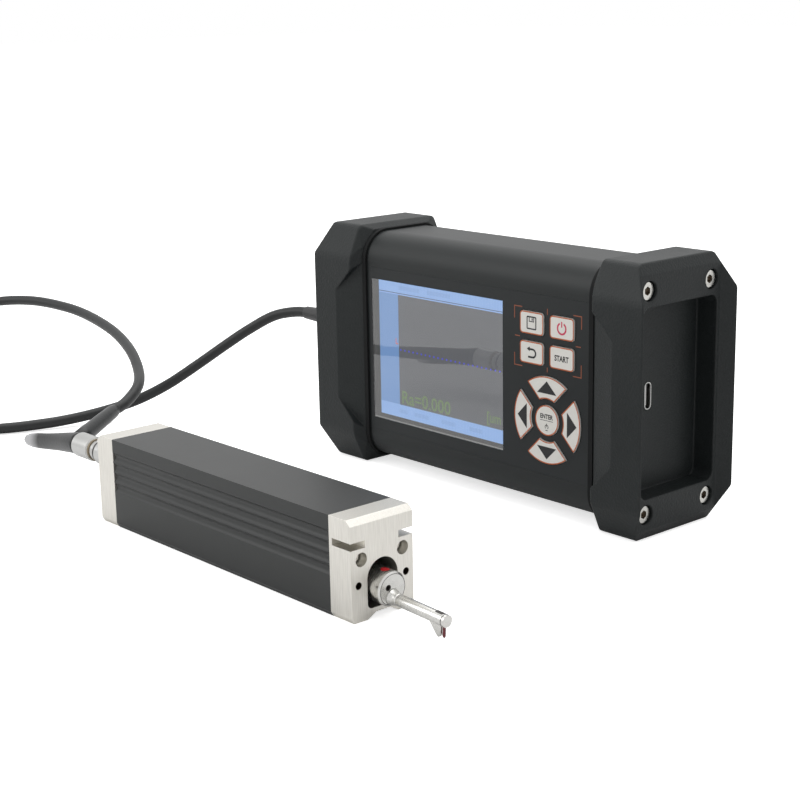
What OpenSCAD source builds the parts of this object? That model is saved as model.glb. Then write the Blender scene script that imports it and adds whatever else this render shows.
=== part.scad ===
// Surface roughness tester: a hand-held display unit with rubber-edged end caps,
// and a slim drive unit that draws a skidded pickup along the work, joined by a cable.
// The part stands on z = 0 and its origin is the centre of its footprint.

/* [Layout] */
// Distance from the display unit's left end to the drive unit's rear face
drive_shift = 13.1; // [0:0.1:40]
// Free space between the drive unit and the display unit
drive_gap = 81.2; // [20:0.1:150]
// Distance of the front panel's middle from the display unit's middle
panel_shift = -1.3; // [-3:0.1:3]

/* [Display unit] */
// Length over both end caps
host_l = 158; // [150:0.5:220]
// Height over the end caps
host_h = 88.8; // [86:0.1:120]
// Depth over the end caps
host_d = 46.4; // [45:0.1:80]
// How far the end caps stand proud of the case at the top and bottom
cap_proud_z = 2.5; // [1:0.1:4]
// How far the end caps stand proud of the case at the front and back
cap_proud_y = 4.5; // [2:0.1:6]
// Corner radius of the extruded case
case_r = 10; // [9:0.5:14]
// Wall of the extruded case
case_wall = 2.2; // [1.6:0.1:3]
// Size of the screw port inside each corner of the case
port_d = 7.4; // [7:0.1:8]

/* [End caps] */
// Length of a cap from its lips to its inner edge
cap_l = 20.5; // [19.5:0.1:25]
// Length of the sloped foot behind the bumper
cap_foot = 2.6; // [1:0.1:4]
// Corner chamfer of the cap seen from the end, in depth and in height
cap_chamfer = [5, 11.4]; // [4:0.1:14]
// Length over which the end slopes back to the top and the bottom
cap_slope = 6; // [5:0.1:9]
// Lips at the front and back of the end: reach beyond the face, width of the rim, depth of the inner slope
lip = [4.1, 0.5, 3.1]; // [0.5:0.1:5]
// Depth of the pocket in the end face
recess_depth = 8; // [4:0.1:8.5]
// Distance from the cap's outline to the pocket, in depth and in height
recess_rim = [5.2, 13.7]; // [5:0.1:16]
// Corner radius of the pocket
recess_r = 3; // [1:0.1:5]
// Wall between the pocket and the case
recess_wall = 2.5; // [1.5:0.1:4]
// Distance from the lips to the start of the thumb ramp
ramp_start = 12.1; // [10:0.1:14]
// Depth of the thumb ramp at the cap's inner edge
ramp_depth = 3.1; // [1:0.1:3.4]
// Half height of the thumb ramp at its start
ramp_half = 20.1; // [12:0.1:24]
// Distance from the case's outline to the cap screws, in depth and in height
screw_inset = [3.6, 6.15]; // [3.4:0.05:7]
// Width of the rubber seal beside each cap
seal_w = 1.8; // [1:0.1:2]
// How far the seal stands proud of the case
seal_proud = 0.8; // [0.4:0.1:1.5]

/* [Front panel] */
// Distance from the ends and from the table to the printed overlay
overlay_rim = [24.05, 14.4]; // [13:0.05:26]
// Thickness of the overlay
overlay_t = 0.5; // [0.3:0.05:0.8]
// Ledge of the case that carries the overlay's edge
overlay_ledge = 2; // [1.5:0.1:3]
// Distance from the overlay's edges to the display window: left, bottom, right and top
window_rim = [4.5, 4.3, 38.6, 4.1]; // [3:0.1:40]
// Width and height of the four upper keys
key_size = [10.4, 7.4]; // [7:0.1:11]
// Corner radius of the upper keys
key_r = 1.2; // [0.5:0.1:2]
// Columns of the upper keys, from the overlay's right edge
key_cols = [-24.9, -11.5]; // [-30:0.1:-8]
// Rows of the upper keys on the overlay
key_rows = [40.4, 50.3]; // [36:0.1:54]
// Centre of the round key pad, from the overlay's lower right corner
pad_at = [-18, 18.7]; // [-20:0.1:20]
// Radius of the centre key
enter_r = 5.1; // [3:0.1:6]
// Inner and outer radius of the four direction keys
ring_r = [7.3, 14.7]; // [6.5:0.1:16]
// Width of the bars between the direction keys
ring_bar = 4.7; // [3:0.1:6]
// How far each key stands proud of the overlay
key_proud = 0.45; // [0.4:0.05:1]
// Key travel
key_travel = 0.4; // [0.3:0.05:0.6]

/* [Drive unit] */
// Length over both end plates
drive_l = 130.4; // [115:0.1:180]
// Width
drive_w = 23; // [22:0.1:30]
// Height
drive_h = 30; // [29:0.1:40]
// Thickness of each end plate
plate_t = 9.2; // [6:0.1:12]
// Chamfer along the lower edges
drive_chamfer = 1.5; // [0.5:0.1:3]
// Bevel along the outer top edge of each end plate
plate_bevel = 2.4; // [0.5:0.1:3]
// Channel under the drive unit: width at the table, width at its top and height
channel = [11.4, 5.2, 1.7]; // [1:0.1:13]
// Wall of the extruded drive housing
drive_wall = 1.4; // [1.2:0.1:2]
// Number of flutes on each side of the housing
flute_count = 4; // [2:1:5]
// Distance between flutes
flute_pitch = 3.4; // [3.2:0.1:4]
// Distance from the top of the housing to the first flute
flute_top = 5.9; // [4:0.1:8]
// Radius of a flute and its depth
flute = [2, 0.7]; // [0.3:0.1:3]
// Side groove of the front plate: height above the table, width and depth
groove = [22.5, 2.1, 5.3]; // [1:0.1:26]
// Screw wells of the end plates: diameter and depth
well = [4.1, 4.6]; // [3.8:0.1:6]
// Threaded holes: spacing, height and diameter
thread = [17.5, 10.8, 2.2]; // [1:0.1:19]
// Pickup opening: half width, lowest point and highest point
slot = [5.6, 3.1, 17.2]; // [2:0.1:18]

/* [Pickup and traverse] */
// Reach of the pickup in front of the drive unit
pickup_reach = 26.5; // [20:0.1:40]
// Collar: diameter, length and how far it stands out of the front plate
collar = [10.2, 16, 4.2]; // [3:0.1:20]
// Diameter of the pickup's barrel behind the collar
barrel_d = 8.4; // [7:0.1:9]
// Distance from the drive unit's front to the pickup's pivot
pivot_back = 55; // [50:0.1:60]
// Height of the pickup's pivot
pivot_z = 11.3; // [10.8:0.1:12]
// Droop of the pickup below level
pickup_droop = 2.5; // [1.5:0.1:2.8]
// Outer and inner diameter of the nose tube
nose = [3.6, 2.3]; // [2:0.1:4]
// How far the nose tube lies below the pickup's axis
nose_drop = 2.3; // [1.5:0.1:2.6]
// Thickness of the skid blade
skid_t = 1.2; // [0.8:0.1:2]
// Length of the skid blade along the nose tube
skid_l = 5.6; // [4:0.1:7]
// Clearance between the skid and the table
skid_lift = 0.3; // [0.2:0.05:0.6]
// Diameter of the stylus arm
arm_d = 1.1; // [0.8:0.1:1.3]
// Diameter of the guide rods
rod_d = 2.2; // [2:0.1:2.4]
// Height of the guide rods and of the plate screws in their ends
rod_z = 18.2; // [18:0.1:18.4]
// Distance between the guide rods
rod_gap = 15.2; // [15:0.1:15.3]
// Diameter of the lead screw
screw_d = 2.6; // [2:0.1:3]
// Height of the lead screw and of the motor
screw_z = 20.8; // [20.6:0.1:21]
// Length of the carriage
carriage_l = 18; // [14:0.5:22]
// Diameter and length of the motor
motor = [10, 26]; // [8:0.5:28]

/* [Cable] */
// Diameter of the cable
cable_d = 4.2; // [3:0.1:4.4]
// Height of the cable socket on the drive unit
plug_z = 18.5; // [17:0.1:20]
// Plug on the drive unit: diameter and length
plug = [8.6, 29]; // [7:0.1:40]
// Height of the cable socket on the display unit
socket_z = 46.8; // [40:0.1:50]

/* [Hidden] */

$fn = 64;
eps = 0.01;

// Fits: slack of parts pressed or glued together, running clearance of shafts, free space round keys
slack = 0.1;
running = 0.05;
key_slack = 0.15;

// Overall box and the places of the two units
overall_l = drive_shift + drive_l + pickup_reach;
overall_d = drive_w + drive_gap + host_d;
host_left = -overall_l / 2;
host_at = [host_left + host_l / 2, overall_d / 2 - host_d / 2, host_h / 2];
drive_rear = host_left + drive_shift;
drive_front = drive_rear + drive_l;
drive_y = -overall_d / 2 + drive_w / 2;

// Case
case_h = host_h - 2 * cap_proud_z;
case_d = host_d - 2 * cap_proud_y;
recess_u = lip[0] + recess_depth;
cap_end = recess_u + recess_wall;
cap_total = cap_l + cap_foot;
foot_edge = 1.2;
foot_cut = 6;
case_l = host_l - 2 * cap_end;
case_front = host_at.y - case_d / 2;
case_back = host_at.y + case_d / 2;
recess_size = [host_d - 2 * recess_rim.x, host_h - 2 * recess_rim.y];
// Cap screws
screw_gap = [case_d - 2 * screw_inset.x, case_h - 2 * screw_inset.y];
head_sink = 1;
head_d = 5.5;
head_h = 3;
head_seat = lip[0] + head_sink + head_h;
head_well = 6.5;
shank_d = 2.9;
hex_d = 2.9;
screw_grip = 8;

// Front panel stack, as distances behind the panel's face
overlay_size = [host_l, host_h] - 2 * overlay_rim;
panel_origin = [host_at.x + panel_shift - overlay_size.x / 2, case_front, host_at.z - overlay_size.y / 2];
window = [
    window_rim[0], window_rim[1], overlay_size.x - window_rim[0] - window_rim[2],
    overlay_size.y - window_rim[1] - window_rim[3]
];
// Keys are drawn for an overlay of this height and scaled to the overlay's own
key_scale = overlay_size.y / 60;
glass_face = 0.1;
glass_t = 1.1;
display_t = 3.5;
display_rim = 1.4;
flange_t = 0.55;
flange_w = 0.6;
flange_gap = 0.05;
plunger_d = 2.4;
plunger_h = 0.4;
dome_h = 0.5;
dome_d = 4.6;
dome_gap = 0.1;
plunger_end = overlay_t + flange_gap + flange_t + plunger_h;
dome_face = plunger_end + key_travel + dome_gap;
board_face = max(dome_face + dome_h + 2, glass_face + glass_t + display_t + 0.05);
board_t = 1.6;
board_gap = 0.5;
board_head = [3.8, 1.4];
board_tip = 0.6;
chip_t = 1.6;
// Chips on the main board: place and size
chips = [[-30, 8, 14, 14], [-4, 10, 10, 8], [22, 6, 9, 12], [-18, -16, 18, 8]];
board_size = overlay_size + [1.1, 4];
pillar_d = 4;
pillar_bore = 2;
pillar_at = [board_size.x / 2 - 4, overlay_size.y / 2 - 0.1];
upper_keys = [[0, 1], [1, 1], [0, 0], [1, 0]];

// Battery and side port
battery_size = [70, 12, 44];
usb = [7.4, 3.2, 8.9];
usb_wall = 0.3;
usb_tongue = [6.4, 0.7, 6.7];
usb_back = 1.2;
usb_y = host_at.y - 5.7;
port_face = usb_y + usb.y / 2;
recess_floor_r = host_at.x + host_l / 2 - recess_u;
recess_floor_l = host_at.x - host_l / 2 + recess_u;
port_size = [18, 24];
port_gap = 0.4;
port_x = recess_floor_r - recess_wall - port_gap;

// Drive unit
housing_l = drive_l - 2 * plate_t;
housing_x = drive_rear + plate_t;
front_back = drive_front - plate_t;
cavity_w = drive_w - 2 * (drive_wall + flute[1]) + flute[1];
cavity_z = [slot[1], drive_h - drive_wall];
corner_r = 1.5;
groove_land = 1.2;
plate_screw_d = 1.4;
plate_head = [2.9, 1.6];
rod_seat = 3;
rod_tap = 4;

// Pickup, laid out level along the pickup's axis and then drooped about its pivot
pivot_x = drive_front - pivot_back;
collar_front = drive_front + collar[2];
collar_back = collar_front - collar[1];
edge = 0.5;
mark_x = collar_front - 3.2;
tip_x = drive_front + pickup_reach;
barrel_back = 5;
pin_d = 2;
ear_t = 2.6;
ear_gap = 0.35;
ear_in = barrel_d / 2 + ear_gap;
ear_low = pivot_z - 2.8;
carriage_x = pivot_x - carriage_l / 2;
carriage_z = [barrel_d / 2 + pivot_z + 0.8, screw_z + screw_d / 2 + 0.8];
carriage_w = cavity_w - 0.8;
// Height of the pickup's axis, before its droop, above the skid's lowest point
skid_reach = pivot_z - skid_lift - (tip_x - pivot_x) * tan(pickup_droop);
nose_z = pivot_z - nose_drop;
skid_bottom = pivot_z - skid_reach;
needle_d = 0.9;
needle_x = tip_x - 1.1;
needle_slot = 1.5;
skid_x = tip_x - 1.2;
skid_r = 1;
skid_root = 0.4;
nose_wall = 0.4;
nose_flare = [4.8, 1.6];
mark_d = 2.6;
mark_t = 0.7;
vent = [-1.6, 0.8, 1.9];
arm_pivot_x = collar_front - 8;
arm_eye = 2.2;
arm_pin_d = 0.9;

// Traverse
motor_x = housing_x + 6;
screw_start = motor_x + motor[1];
bearing_l = 4;
bearing_d = 6;
screw_end = front_back - 0.3;

// Sockets, plugs and cable
host_socket_d = 11.6;
socket_out = 3;
socket_l = socket_out + recess_wall + 9;
socket_wall = 1.2;
socket_nut = [14.6, 2];
socket_depth = 4;
drive_socket_d = 8;
socket_flange = 1.6;
// Neck of the plug: its start and end from the plug's end, and its depth
plug_neck = [15, 9.6, 0.7];
plug_edge = 0.4;
plug_start = drive_rear - socket_flange;
plug_end = plug_start - plug[1];
sleeve_tail = [plug_end - 36, drive_y, plug_z - 5.5];
sleeve_from = [plug_end - 4, drive_y, plug_z];
sleeve_to = [-123.8, -36.9, 22];
sleeve_d = 5;
host_socket_at = [recess_floor_l, host_at.y, socket_z];
host_plug_end = [-119.8, host_at.y, socket_z];
host_nut = [16.8, 14];
nut_edge = 1.2;
host_boot = [6.6, 5.8];
plug_room = 0.4;
boot_root = 9;
boot_lip = 0.4;

// Route of the cable, from the sleeve of the drive unit's plug to the display unit's plug
cable_points = [
    [-116.1, -48.9, 20.9], [-119.8, -42.9, 21.3], [-123.8, -36.9, 22], [-127.3, -29.4, 23.3],
    [-133.8, -19.9, 26.6], [-147.8, -10.5, 29.2], [-167.8, -1.5, 33], [-192.8, 6.1, 36.2],
    [-222.8, 11.1, 38.5], [-244.8, 11.1, 39.5], [-264.8, 8.1, 39.5], [-283.8, 2.1, 37.5],
    [-303.8, -9.9, 33], [-318.8, -27.9, 25.5], [-323.8, -49.9, 16.5], [-315.8, -71.9, 8.5],
    [-296.8, -85.9, 4], [-270.8, -89.9, 2.4], [-244.8, -83.9, 2.4], [-222.8, -71.9, 2.4],
    [-206.8, -55.9, 2.4], [-198.8, -43.9, 2.4], [-194.3, -32.9, 2.5], [-189.8, -19.9, 3.1],
    [-184.8, -5.9, 5], [-178.8, 7.1, 8.5], [-171.8, 18.1, 14.4], [-163.8, 28.1, 22.5],
    [-154.8, 36.1, 30.8], [-145.8, 42.1, 37.9], [-135.8, 47.3, 44], [-125.8, 50.9, 46.5],
    [-117.8, 52.1, 46.8], [-110.8, 52.1, 46.8]
];
cable_steps = 2;
cable_sides = 8;

// Helpers

// A flat outline in Y and Z, drawn from x0 for a length l
module along_x(x0, l) translate([x0, 0, 0]) rotate([90, 0, 90]) linear_extrude(l) children();

// A flat outline in X and Z, drawn from y0 away from the front for a depth t
module along_y(y0, t) translate([0, y0 + t, 0]) rotate([90, 0, 0]) linear_extrude(t) children();

// A round bar along X
module bar_x(x0, l, y, z, d) translate([x0, y, z]) rotate([0, 90, 0]) cylinder(h = l, d = d);

// A round bar along Y, centred
module bar_y(x, z, l, d, y = 0) translate([x, y + l / 2, z]) rotate([90, 0, 0]) cylinder(h = l, d = d);

// A rectangle with round corners, centred
module round_rect(w, h, r) {
    square([w - 2 * r, h], center = true);
    square([w, h - 2 * r], center = true);
    for (x = [-1, 1], y = [-1, 1]) translate([x * (w / 2 - r), y * (h / 2 - r)]) circle(r);
}

// A rectangle with cut corners, centred
module cut_rect(w, h, cx, cy) {
    polygon([
        [w / 2 - cx, h / 2], [w / 2, h / 2 - cy], [w / 2, cy - h / 2], [w / 2 - cx, -h / 2],
        [cx - w / 2, -h / 2], [-w / 2, cy - h / 2], [-w / 2, h / 2 - cy], [cx - w / 2, h / 2]
    ]);
}

// Four places on a rectangle
module at_corners(w, h) for (x = [-1, 1], y = [-1, 1]) translate([x * w / 2, y * h / 2]) children();

// A tapered round bar between two points
module bar_between(a, b, d1, d2) {
    v = b - a;
    translate(a) rotate([0, acos(v.z / norm(v)), atan2(v.y, v.x)]) cylinder(h = norm(v), d1 = d1, d2 = d2);
}

// Turn from the drive unit's own lateral zero to its place
module at_drive() translate([0, drive_y, 0]) children();

// Droop of the pickup about its pivot
module at_pickup() {
    translate([pivot_x, drive_y, pivot_z]) rotate([0, pickup_droop, 0]) {
        translate([-pivot_x, 0, -pivot_z]) children();
    }
}

// A place on the overlay, measured from its lower left corner, with X and Z in the outline's plane
module on_panel(depth, t) {
    along_y(case_front + depth, t) translate([panel_origin.x, panel_origin.z]) children();
}

// Display unit

// Outline of the extruded case, grown by g
module case_outline(g = 0) {
    translate([host_at.y, host_at.z]) round_rect(case_d + 2 * g, case_h + 2 * g, case_r + g);
}

module host_case() {
    color("#2b2d2e") difference() {
        along_x(host_at.x - case_l / 2, case_l) difference() {
            case_outline();
            difference() {
                case_outline(-case_wall);
                at_screws() circle(d = port_d);
            }
            at_screws() circle(d = shank_d + slack);
        }
        translate([0, -eps, 0]) on_panel(0, overlay_t + eps) {
            translate(overlay_size / 2) square(overlay_size + [slack, slack], center = true);
        }
        on_panel(0, case_wall + eps) translate(overlay_size / 2) {
            square(overlay_size - 2 * [overlay_ledge, overlay_ledge], center = true);
        }
    }
}

// Places of the cap screws in the case's outline
module at_screws() translate([host_at.y, host_at.z]) at_corners(screw_gap.x, screw_gap.y) children();

// Block of an end cap, with u measured inwards from its lips
module cap_block() {
    hull() {
        along_x(0, eps) square([host_d, host_h - 2 * cap_chamfer.y], center = true);
        along_x(cap_slope, cap_l - cap_slope) cut_rect(host_d, host_h, cap_chamfer.x, cap_chamfer.y);
        along_x(cap_total - eps, eps) cut_rect(case_d + foot_edge, case_h + foot_edge, foot_cut, foot_cut);
    }
}

// Space between the two lips, in front of the end face
module cap_trough() {
    rim = host_d / 2 - lip[1];
    translate([0, 0, -host_h]) linear_extrude(2 * host_h) polygon([
        [-1, -rim - lip[2] / lip[0]], [lip[0], lip[2] - rim],
        [lip[0], rim - lip[2]], [-1, rim + lip[2] / lip[0]]
    ]);
}

// Thumb ramp cut into the front of a cap
module cap_ramp() {
    run = cap_total - ramp_start + 1;
    slope = ramp_depth / (cap_l - ramp_start);
    intersection() {
        translate([0, -host_d / 2 - 1, 0]) rotate([-90, 0, 0]) linear_extrude(host_d / 2) {
            polygon([
                [ramp_start, -ramp_half], [ramp_start + run, -ramp_half - run],
                [ramp_start + run, ramp_half + run], [ramp_start, ramp_half]
            ]);
        }
        translate([0, 0, -host_h / 2]) linear_extrude(host_h) {
            polygon([
                [ramp_start, -host_d / 2], [ramp_start, -host_d / 2 - 1],
                [ramp_start + run, -host_d / 2 - 1], [ramp_start + run, -host_d / 2 + slope * run]
            ]);
        }
    }
}

// End cap without its ports
module end_cap() {
    difference() {
        cap_block();
        cap_trough();
        cap_ramp();
        mirror([0, 1, 0]) cap_ramp();
        along_x(cap_end, cap_total) round_rect(case_d + 2 * slack, case_h + 2 * slack, case_r + slack);
        along_x(lip[0] - eps, recess_depth + eps) round_rect(recess_size.x, recess_size.y, recess_r);
        along_x(0, head_seat) at_corners(screw_gap.x, screw_gap.y) circle(d = head_well);
        along_x(0, cap_end + eps) at_corners(screw_gap.x, screw_gap.y) circle(d = shank_d + 4 * slack);
    }
}

// Places of the two ends of the display unit, with u measured inwards
module at_left_end() translate([host_at.x - host_l / 2, host_at.y, host_at.z]) children();

module at_right_end() translate([host_at.x + host_l / 2, host_at.y, host_at.z]) mirror([1, 0, 0]) children();

module left_cap() {
    color("#1f2021") difference() {
        at_left_end() end_cap();
        bar_x(recess_floor_l - 1, recess_wall + 2, host_at.y, socket_z, host_socket_d + slack);
    }
}

module right_cap() {
    color("#1f2021") difference() {
        at_right_end() end_cap();
        along_x(recess_floor_r - recess_wall - 1, recess_wall + 2) translate([usb_y, host_at.z]) {
            round_rect(usb.y + 2 * slack, usb.z + 2 * slack, usb.y / 2 - slack);
        }
    }
}

// Socket head screw along X, with its head's top at u = 0
module cap_screw() {
    difference() {
        union() {
            bar_x(0, head_h, 0, 0, head_d);
            bar_x(head_h - eps, cap_end - head_seat + screw_grip, 0, 0, shank_d);
        }
        translate([-eps, 0, 0]) rotate([0, 90, 0]) cylinder(h = head_h * 0.6, d = hex_d, $fn = 6);
    }
}

module cap_screws() {
    for (y = [-1, 1], z = [-1, 1]) {
        translate([head_seat - head_h, y * screw_gap.x / 2, z * screw_gap.y / 2]) cap_screw();
    }
}

module left_cap_screws() color("silver") at_left_end() cap_screws();

module right_cap_screws() color("silver") at_right_end() cap_screws();

// Rubber seal round the case beside a cap
module seal(x0) {
    color("#0c0c0c") along_x(x0, seal_w) difference() {
        case_outline(seal_proud);
        case_outline(slack / 2);
    }
}

module left_seal() seal(host_at.x - host_l / 2 + cap_total);

module right_seal() seal(host_at.x + host_l / 2 - cap_total - seal_w);

// Outline of one direction key, pointing up before it is turned
module ring_key(turn, g = 0) {
    intersection() {
        difference() {
            circle(ring_r[1] + g);
            circle(ring_r[0] - g);
        }
        rotate(turn + 45) translate([ring_bar / 2 - g, ring_bar / 2 - g]) square(2 * ring_r[1]);
    }
}

// Outline of key i, grown by g: four upper keys, four direction keys, centre key
module key_outline(i, g = 0) {
    translate([overlay_size.x, 0]) scale(key_scale) {
        if (i < 4) {
            translate([key_cols[upper_keys[i].x], key_rows[upper_keys[i].y]]) {
                round_rect(key_size.x + 2 * g, key_size.y + 2 * g, key_r + g);
            }
        } else if (i < 8) {
            translate(pad_at) ring_key([0, 180, 90, 270][i - 4], g);
        } else {
            translate(pad_at) circle(enter_r + g);
        }
    }
}

// Middle of key i on the keys' own scale
function key_place(i) =
    i < 4 ? [key_cols[upper_keys[i].x], key_rows[upper_keys[i].y]] :
    i < 8 ? pad_at + (ring_r[0] + ring_r[1]) / 2 * [[0, 1], [0, -1], [-1, 0], [1, 0]][i - 4] :
    pad_at;

// Middle of key i on the overlay
function key_centre(i) = [overlay_size.x, 0] + key_scale * key_place(i);

// Key cap with its retaining flange and its plunger
module key(i) {
    color("#d9d9d6") {
        on_panel(-key_proud, key_proud + overlay_t + flange_gap + flange_t) key_outline(i);
        on_panel(overlay_t + flange_gap, flange_t) key_outline(i, flange_w);
        on_panel(overlay_t + flange_gap + flange_t - eps, plunger_h + eps) {
            translate(key_centre(i)) circle(d = plunger_d);
        }
    }
}

module key_save() key(0);
module key_power() key(1);
module key_back() key(2);
module key_start() key(3);
module key_up() key(4);
module key_down() key(5);
module key_left() key(6);
module key_right() key(7);
module key_enter() key(8);

// The display window, grown by g
module window_outline(g = 0) {
    translate([window[0] - g, window[1] - g]) square([window[2] + 2 * g, window[3] + 2 * g]);
}

module front_overlay() {
    color("#17191b") on_panel(0, overlay_t) difference() {
        translate(overlay_size / 2) square(overlay_size, center = true);
        window_outline();
        for (i = [0:8]) key_outline(i, key_slack);
    }
}

module display_glass() {
    color("#9fb4d8", 0.5) on_panel(glass_face, glass_t) window_outline(-slack);
}

module display_panel() {
    color("#5a6f96") on_panel(glass_face + glass_t, board_face - glass_face - glass_t) {
        window_outline(display_rim);
    }
}

module key_board() {
    left = window[0] + window[2] + display_rim + 2 * board_gap;
    inset = overlay_ledge + board_gap;
    color("#1d5b34") on_panel(dome_face + dome_h, board_face - dome_face - dome_h) {
        translate([left, inset]) square([overlay_size.x - inset - left, overlay_size.y - 2 * inset]);
    }
}

module snap_domes() {
    color("silver") for (i = [0:8]) {
        at = panel_origin + [key_centre(i).x, dome_face + dome_h, key_centre(i).y];
        translate(at) {
            rotate([90, 0, 0]) rotate_extrude() polygon([
                [0, 0], [dome_d / 2, 0], [dome_d / 2, dome_h * 0.3], [dome_d / 4, dome_h], [0, dome_h]
            ]);
        }
    }
}

// A flat board behind the panel, on the panel's centre
module board_plate(depth, t) {
    along_y(case_front + depth, t) translate([host_at.x, host_at.z]) children();
}

module main_board() {
    color("#14502c") board_plate(board_face, board_t) difference() {
        square(board_size, center = true);
        at_corners(2 * pillar_at.x, 2 * pillar_at.y) circle(d = pillar_bore + 0.3);
    }
}

module board_pillars() {
    color("#c9b06a") board_plate(case_wall, board_face - case_wall) {
        at_corners(2 * pillar_at.x, 2 * pillar_at.y) difference() {
            circle(d = pillar_d);
            circle(d = pillar_bore + slack);
        }
    }
}

module board_screws() {
    color("silver") {
        board_plate(board_face + board_t, board_head.y) {
            at_corners(2 * pillar_at.x, 2 * pillar_at.y) circle(d = board_head.x);
        }
        board_plate(case_wall + board_tip, board_face + board_t - case_wall) {
            at_corners(2 * pillar_at.x, 2 * pillar_at.y) circle(d = pillar_bore);
        }
    }
}

module board_chips() {
    color("#1a1a1a") board_plate(board_face + board_t, chip_t) {
        for (c = chips) translate([c[0], c[1]]) square([c[2], c[3]], center = true);
    }
}

module battery_pack() {
    color("#3a5f9a") translate([host_at.x, case_back - case_wall - battery_size.y / 2, host_at.z]) {
        cube(battery_size, center = true);
    }
}

module port_board() {
    pillar = case_front + board_face + board_t;
    color("#14502c") {
        along_y(port_face, board_t) {
            translate([port_x - port_size.x, host_at.z - port_size.y / 2]) square(port_size);
        }
        along_y(pillar, port_face - pillar) translate([port_x - port_size.x + pillar_d, host_at.z]) {
            for (side = [-1, 1]) translate([0, side * (port_size.y / 2 - pillar_d)]) circle(d = pillar_d);
        }
    }
}

module usb_socket() {
    color("silver") along_x(recess_floor_r - usb.x, usb.x) translate([usb_y, host_at.z]) difference() {
        round_rect(usb.y, usb.z, usb.y / 2 - slack);
        round_rect(usb.y - 2 * usb_wall, usb.z - 2 * usb_wall, usb.y / 2 - slack - usb_wall);
    }
    color("#222222") along_x(recess_floor_r - usb.x, usb_tongue.x) translate([usb_y, host_at.z]) {
        square([usb_tongue.y, usb_tongue.z], center = true);
    }
    color("#222222") along_x(recess_floor_r - usb.x, usb_back) translate([usb_y, host_at.z]) {
        round_rect(usb.y - usb_wall, usb.z - usb_wall, usb.y / 2 - slack - usb_wall);
    }
}

// Round socket in the left cap that the host plug screws into
module host_socket() {
    color("#8d8f91") difference() {
        union() {
            bar_x(recess_floor_l - socket_out, socket_l, host_at.y, socket_z, host_socket_d);
            bar_x(recess_floor_l + recess_wall, socket_nut[1], host_at.y, socket_z, socket_nut[0]);
        }
        bar_x(
            recess_floor_l - socket_out - 1, socket_out + 1 + socket_depth, host_at.y, socket_z,
            host_socket_d - 2 * socket_wall
        );
    }
}

// Drive unit

// Lower outline shared by the plates and the housing, on the drive unit's own lateral zero
function drive_base() = [
    [-drive_w / 2, drive_chamfer], [-drive_w / 2 + drive_chamfer * 0.6, 0], [-channel[0] / 2, 0],
    [-channel[1] / 2, channel[2]], [channel[1] / 2, channel[2]], [channel[0] / 2, 0],
    [drive_w / 2 - drive_chamfer * 0.6, 0], [drive_w / 2, drive_chamfer]
];

module drive_outline() {
    polygon(concat(drive_base(), [[drive_w / 2, drive_h], [-drive_w / 2, drive_h]]));
}

// Inside of the housing
module drive_cavity() {
    translate([-cavity_w / 2, cavity_z[0]]) square([cavity_w, cavity_z[1] - cavity_z[0]]);
}

module drive_housing() {
    color("#2a2b2c") at_drive() along_x(housing_x, housing_l) difference() {
        drive_outline();
        drive_cavity();
        for (side = [-1, 1], i = [0:flute_count - 1]) {
            translate([side * (drive_w / 2 + flute[0] - flute[1]), drive_h - flute_top - i * flute_pitch]) {
                circle(flute[0]);
            }
        }
    }
}

// End plate, with its bevelled top edge at the outer side
module end_plate(x0, outer) {
    difference() {
        along_x(x0, plate_t) drive_outline();
        translate([outer > 0 ? x0 + plate_t : x0, 0, drive_h]) rotate([0, 45, 0]) {
            cube([plate_bevel, drive_w + 2, plate_bevel], center = true);
        }
        along_x(outer > 0 ? x0 - eps : x0 + plate_t - rod_seat, rod_seat + eps) {
            at_rods() circle(d = rod_d + slack);
        }
        along_x(outer > 0 ? x0 + plate_t - well[1] : x0 - eps, well[1] + eps) at_rods() circle(d = well[0]);
        along_x(x0, plate_t) at_rods() circle(d = plate_screw_d + slack);
    }
}

// Places of the rods and the lead screw, across the drive unit
module at_rods() for (side = [-1, 1]) translate([side * rod_gap / 2, rod_z]) children();

module front_plate() {
    color("#c9cacb") at_drive() difference() {
        end_plate(front_back, 1);
        along_x(front_back - 1, plate_t + 2) {
            translate([0, slot[2] - slot[0]]) circle(slot[0]);
            translate([-slot[0], slot[1] + corner_r]) {
                square([2 * slot[0], slot[2] - slot[0] - slot[1] - corner_r]);
            }
            translate([-slot[0] + corner_r, slot[1]]) square(2 * [slot[0] - corner_r, corner_r]);
            for (side = [-1, 1]) {
                translate([side * (slot[0] - corner_r), slot[1] + corner_r]) circle(corner_r);
            }
        }
        for (side = [-1, 1]) {
            bar_x(drive_front - 5, 6, side * thread[0] / 2, thread[1], thread[2]);
            translate([front_back + groove_land + plate_t / 2, side * drive_w / 2, groove[0]]) {
                cube([plate_t, 2 * groove[2], groove[1]], center = true);
            }
        }
    }
}

module rear_plate() {
    color("#d0d1d0") at_drive() difference() {
        end_plate(drive_rear, -1);
        bar_x(drive_rear - 1, plate_t + 2, 0, plug_z, drive_socket_d + slack);
    }
}

// Small screws in the wells of an end plate, threaded into the ends of the guide rods
module plate_screws(head_x, dir) {
    color("silver") at_drive() {
        head = dir > 0 ? head_x : head_x - plate_head[1];
        along_x(head, plate_head[1]) at_rods() circle(d = plate_head[0]);
        grip = plate_t - well[1] - rod_seat + rod_tap;
        along_x(dir > 0 ? head_x - grip : head_x, grip) at_rods() circle(d = plate_screw_d);
    }
}

module front_plate_screws() plate_screws(drive_front - well[1], 1);

module rear_plate_screws() plate_screws(drive_rear + well[1], -1);

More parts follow.
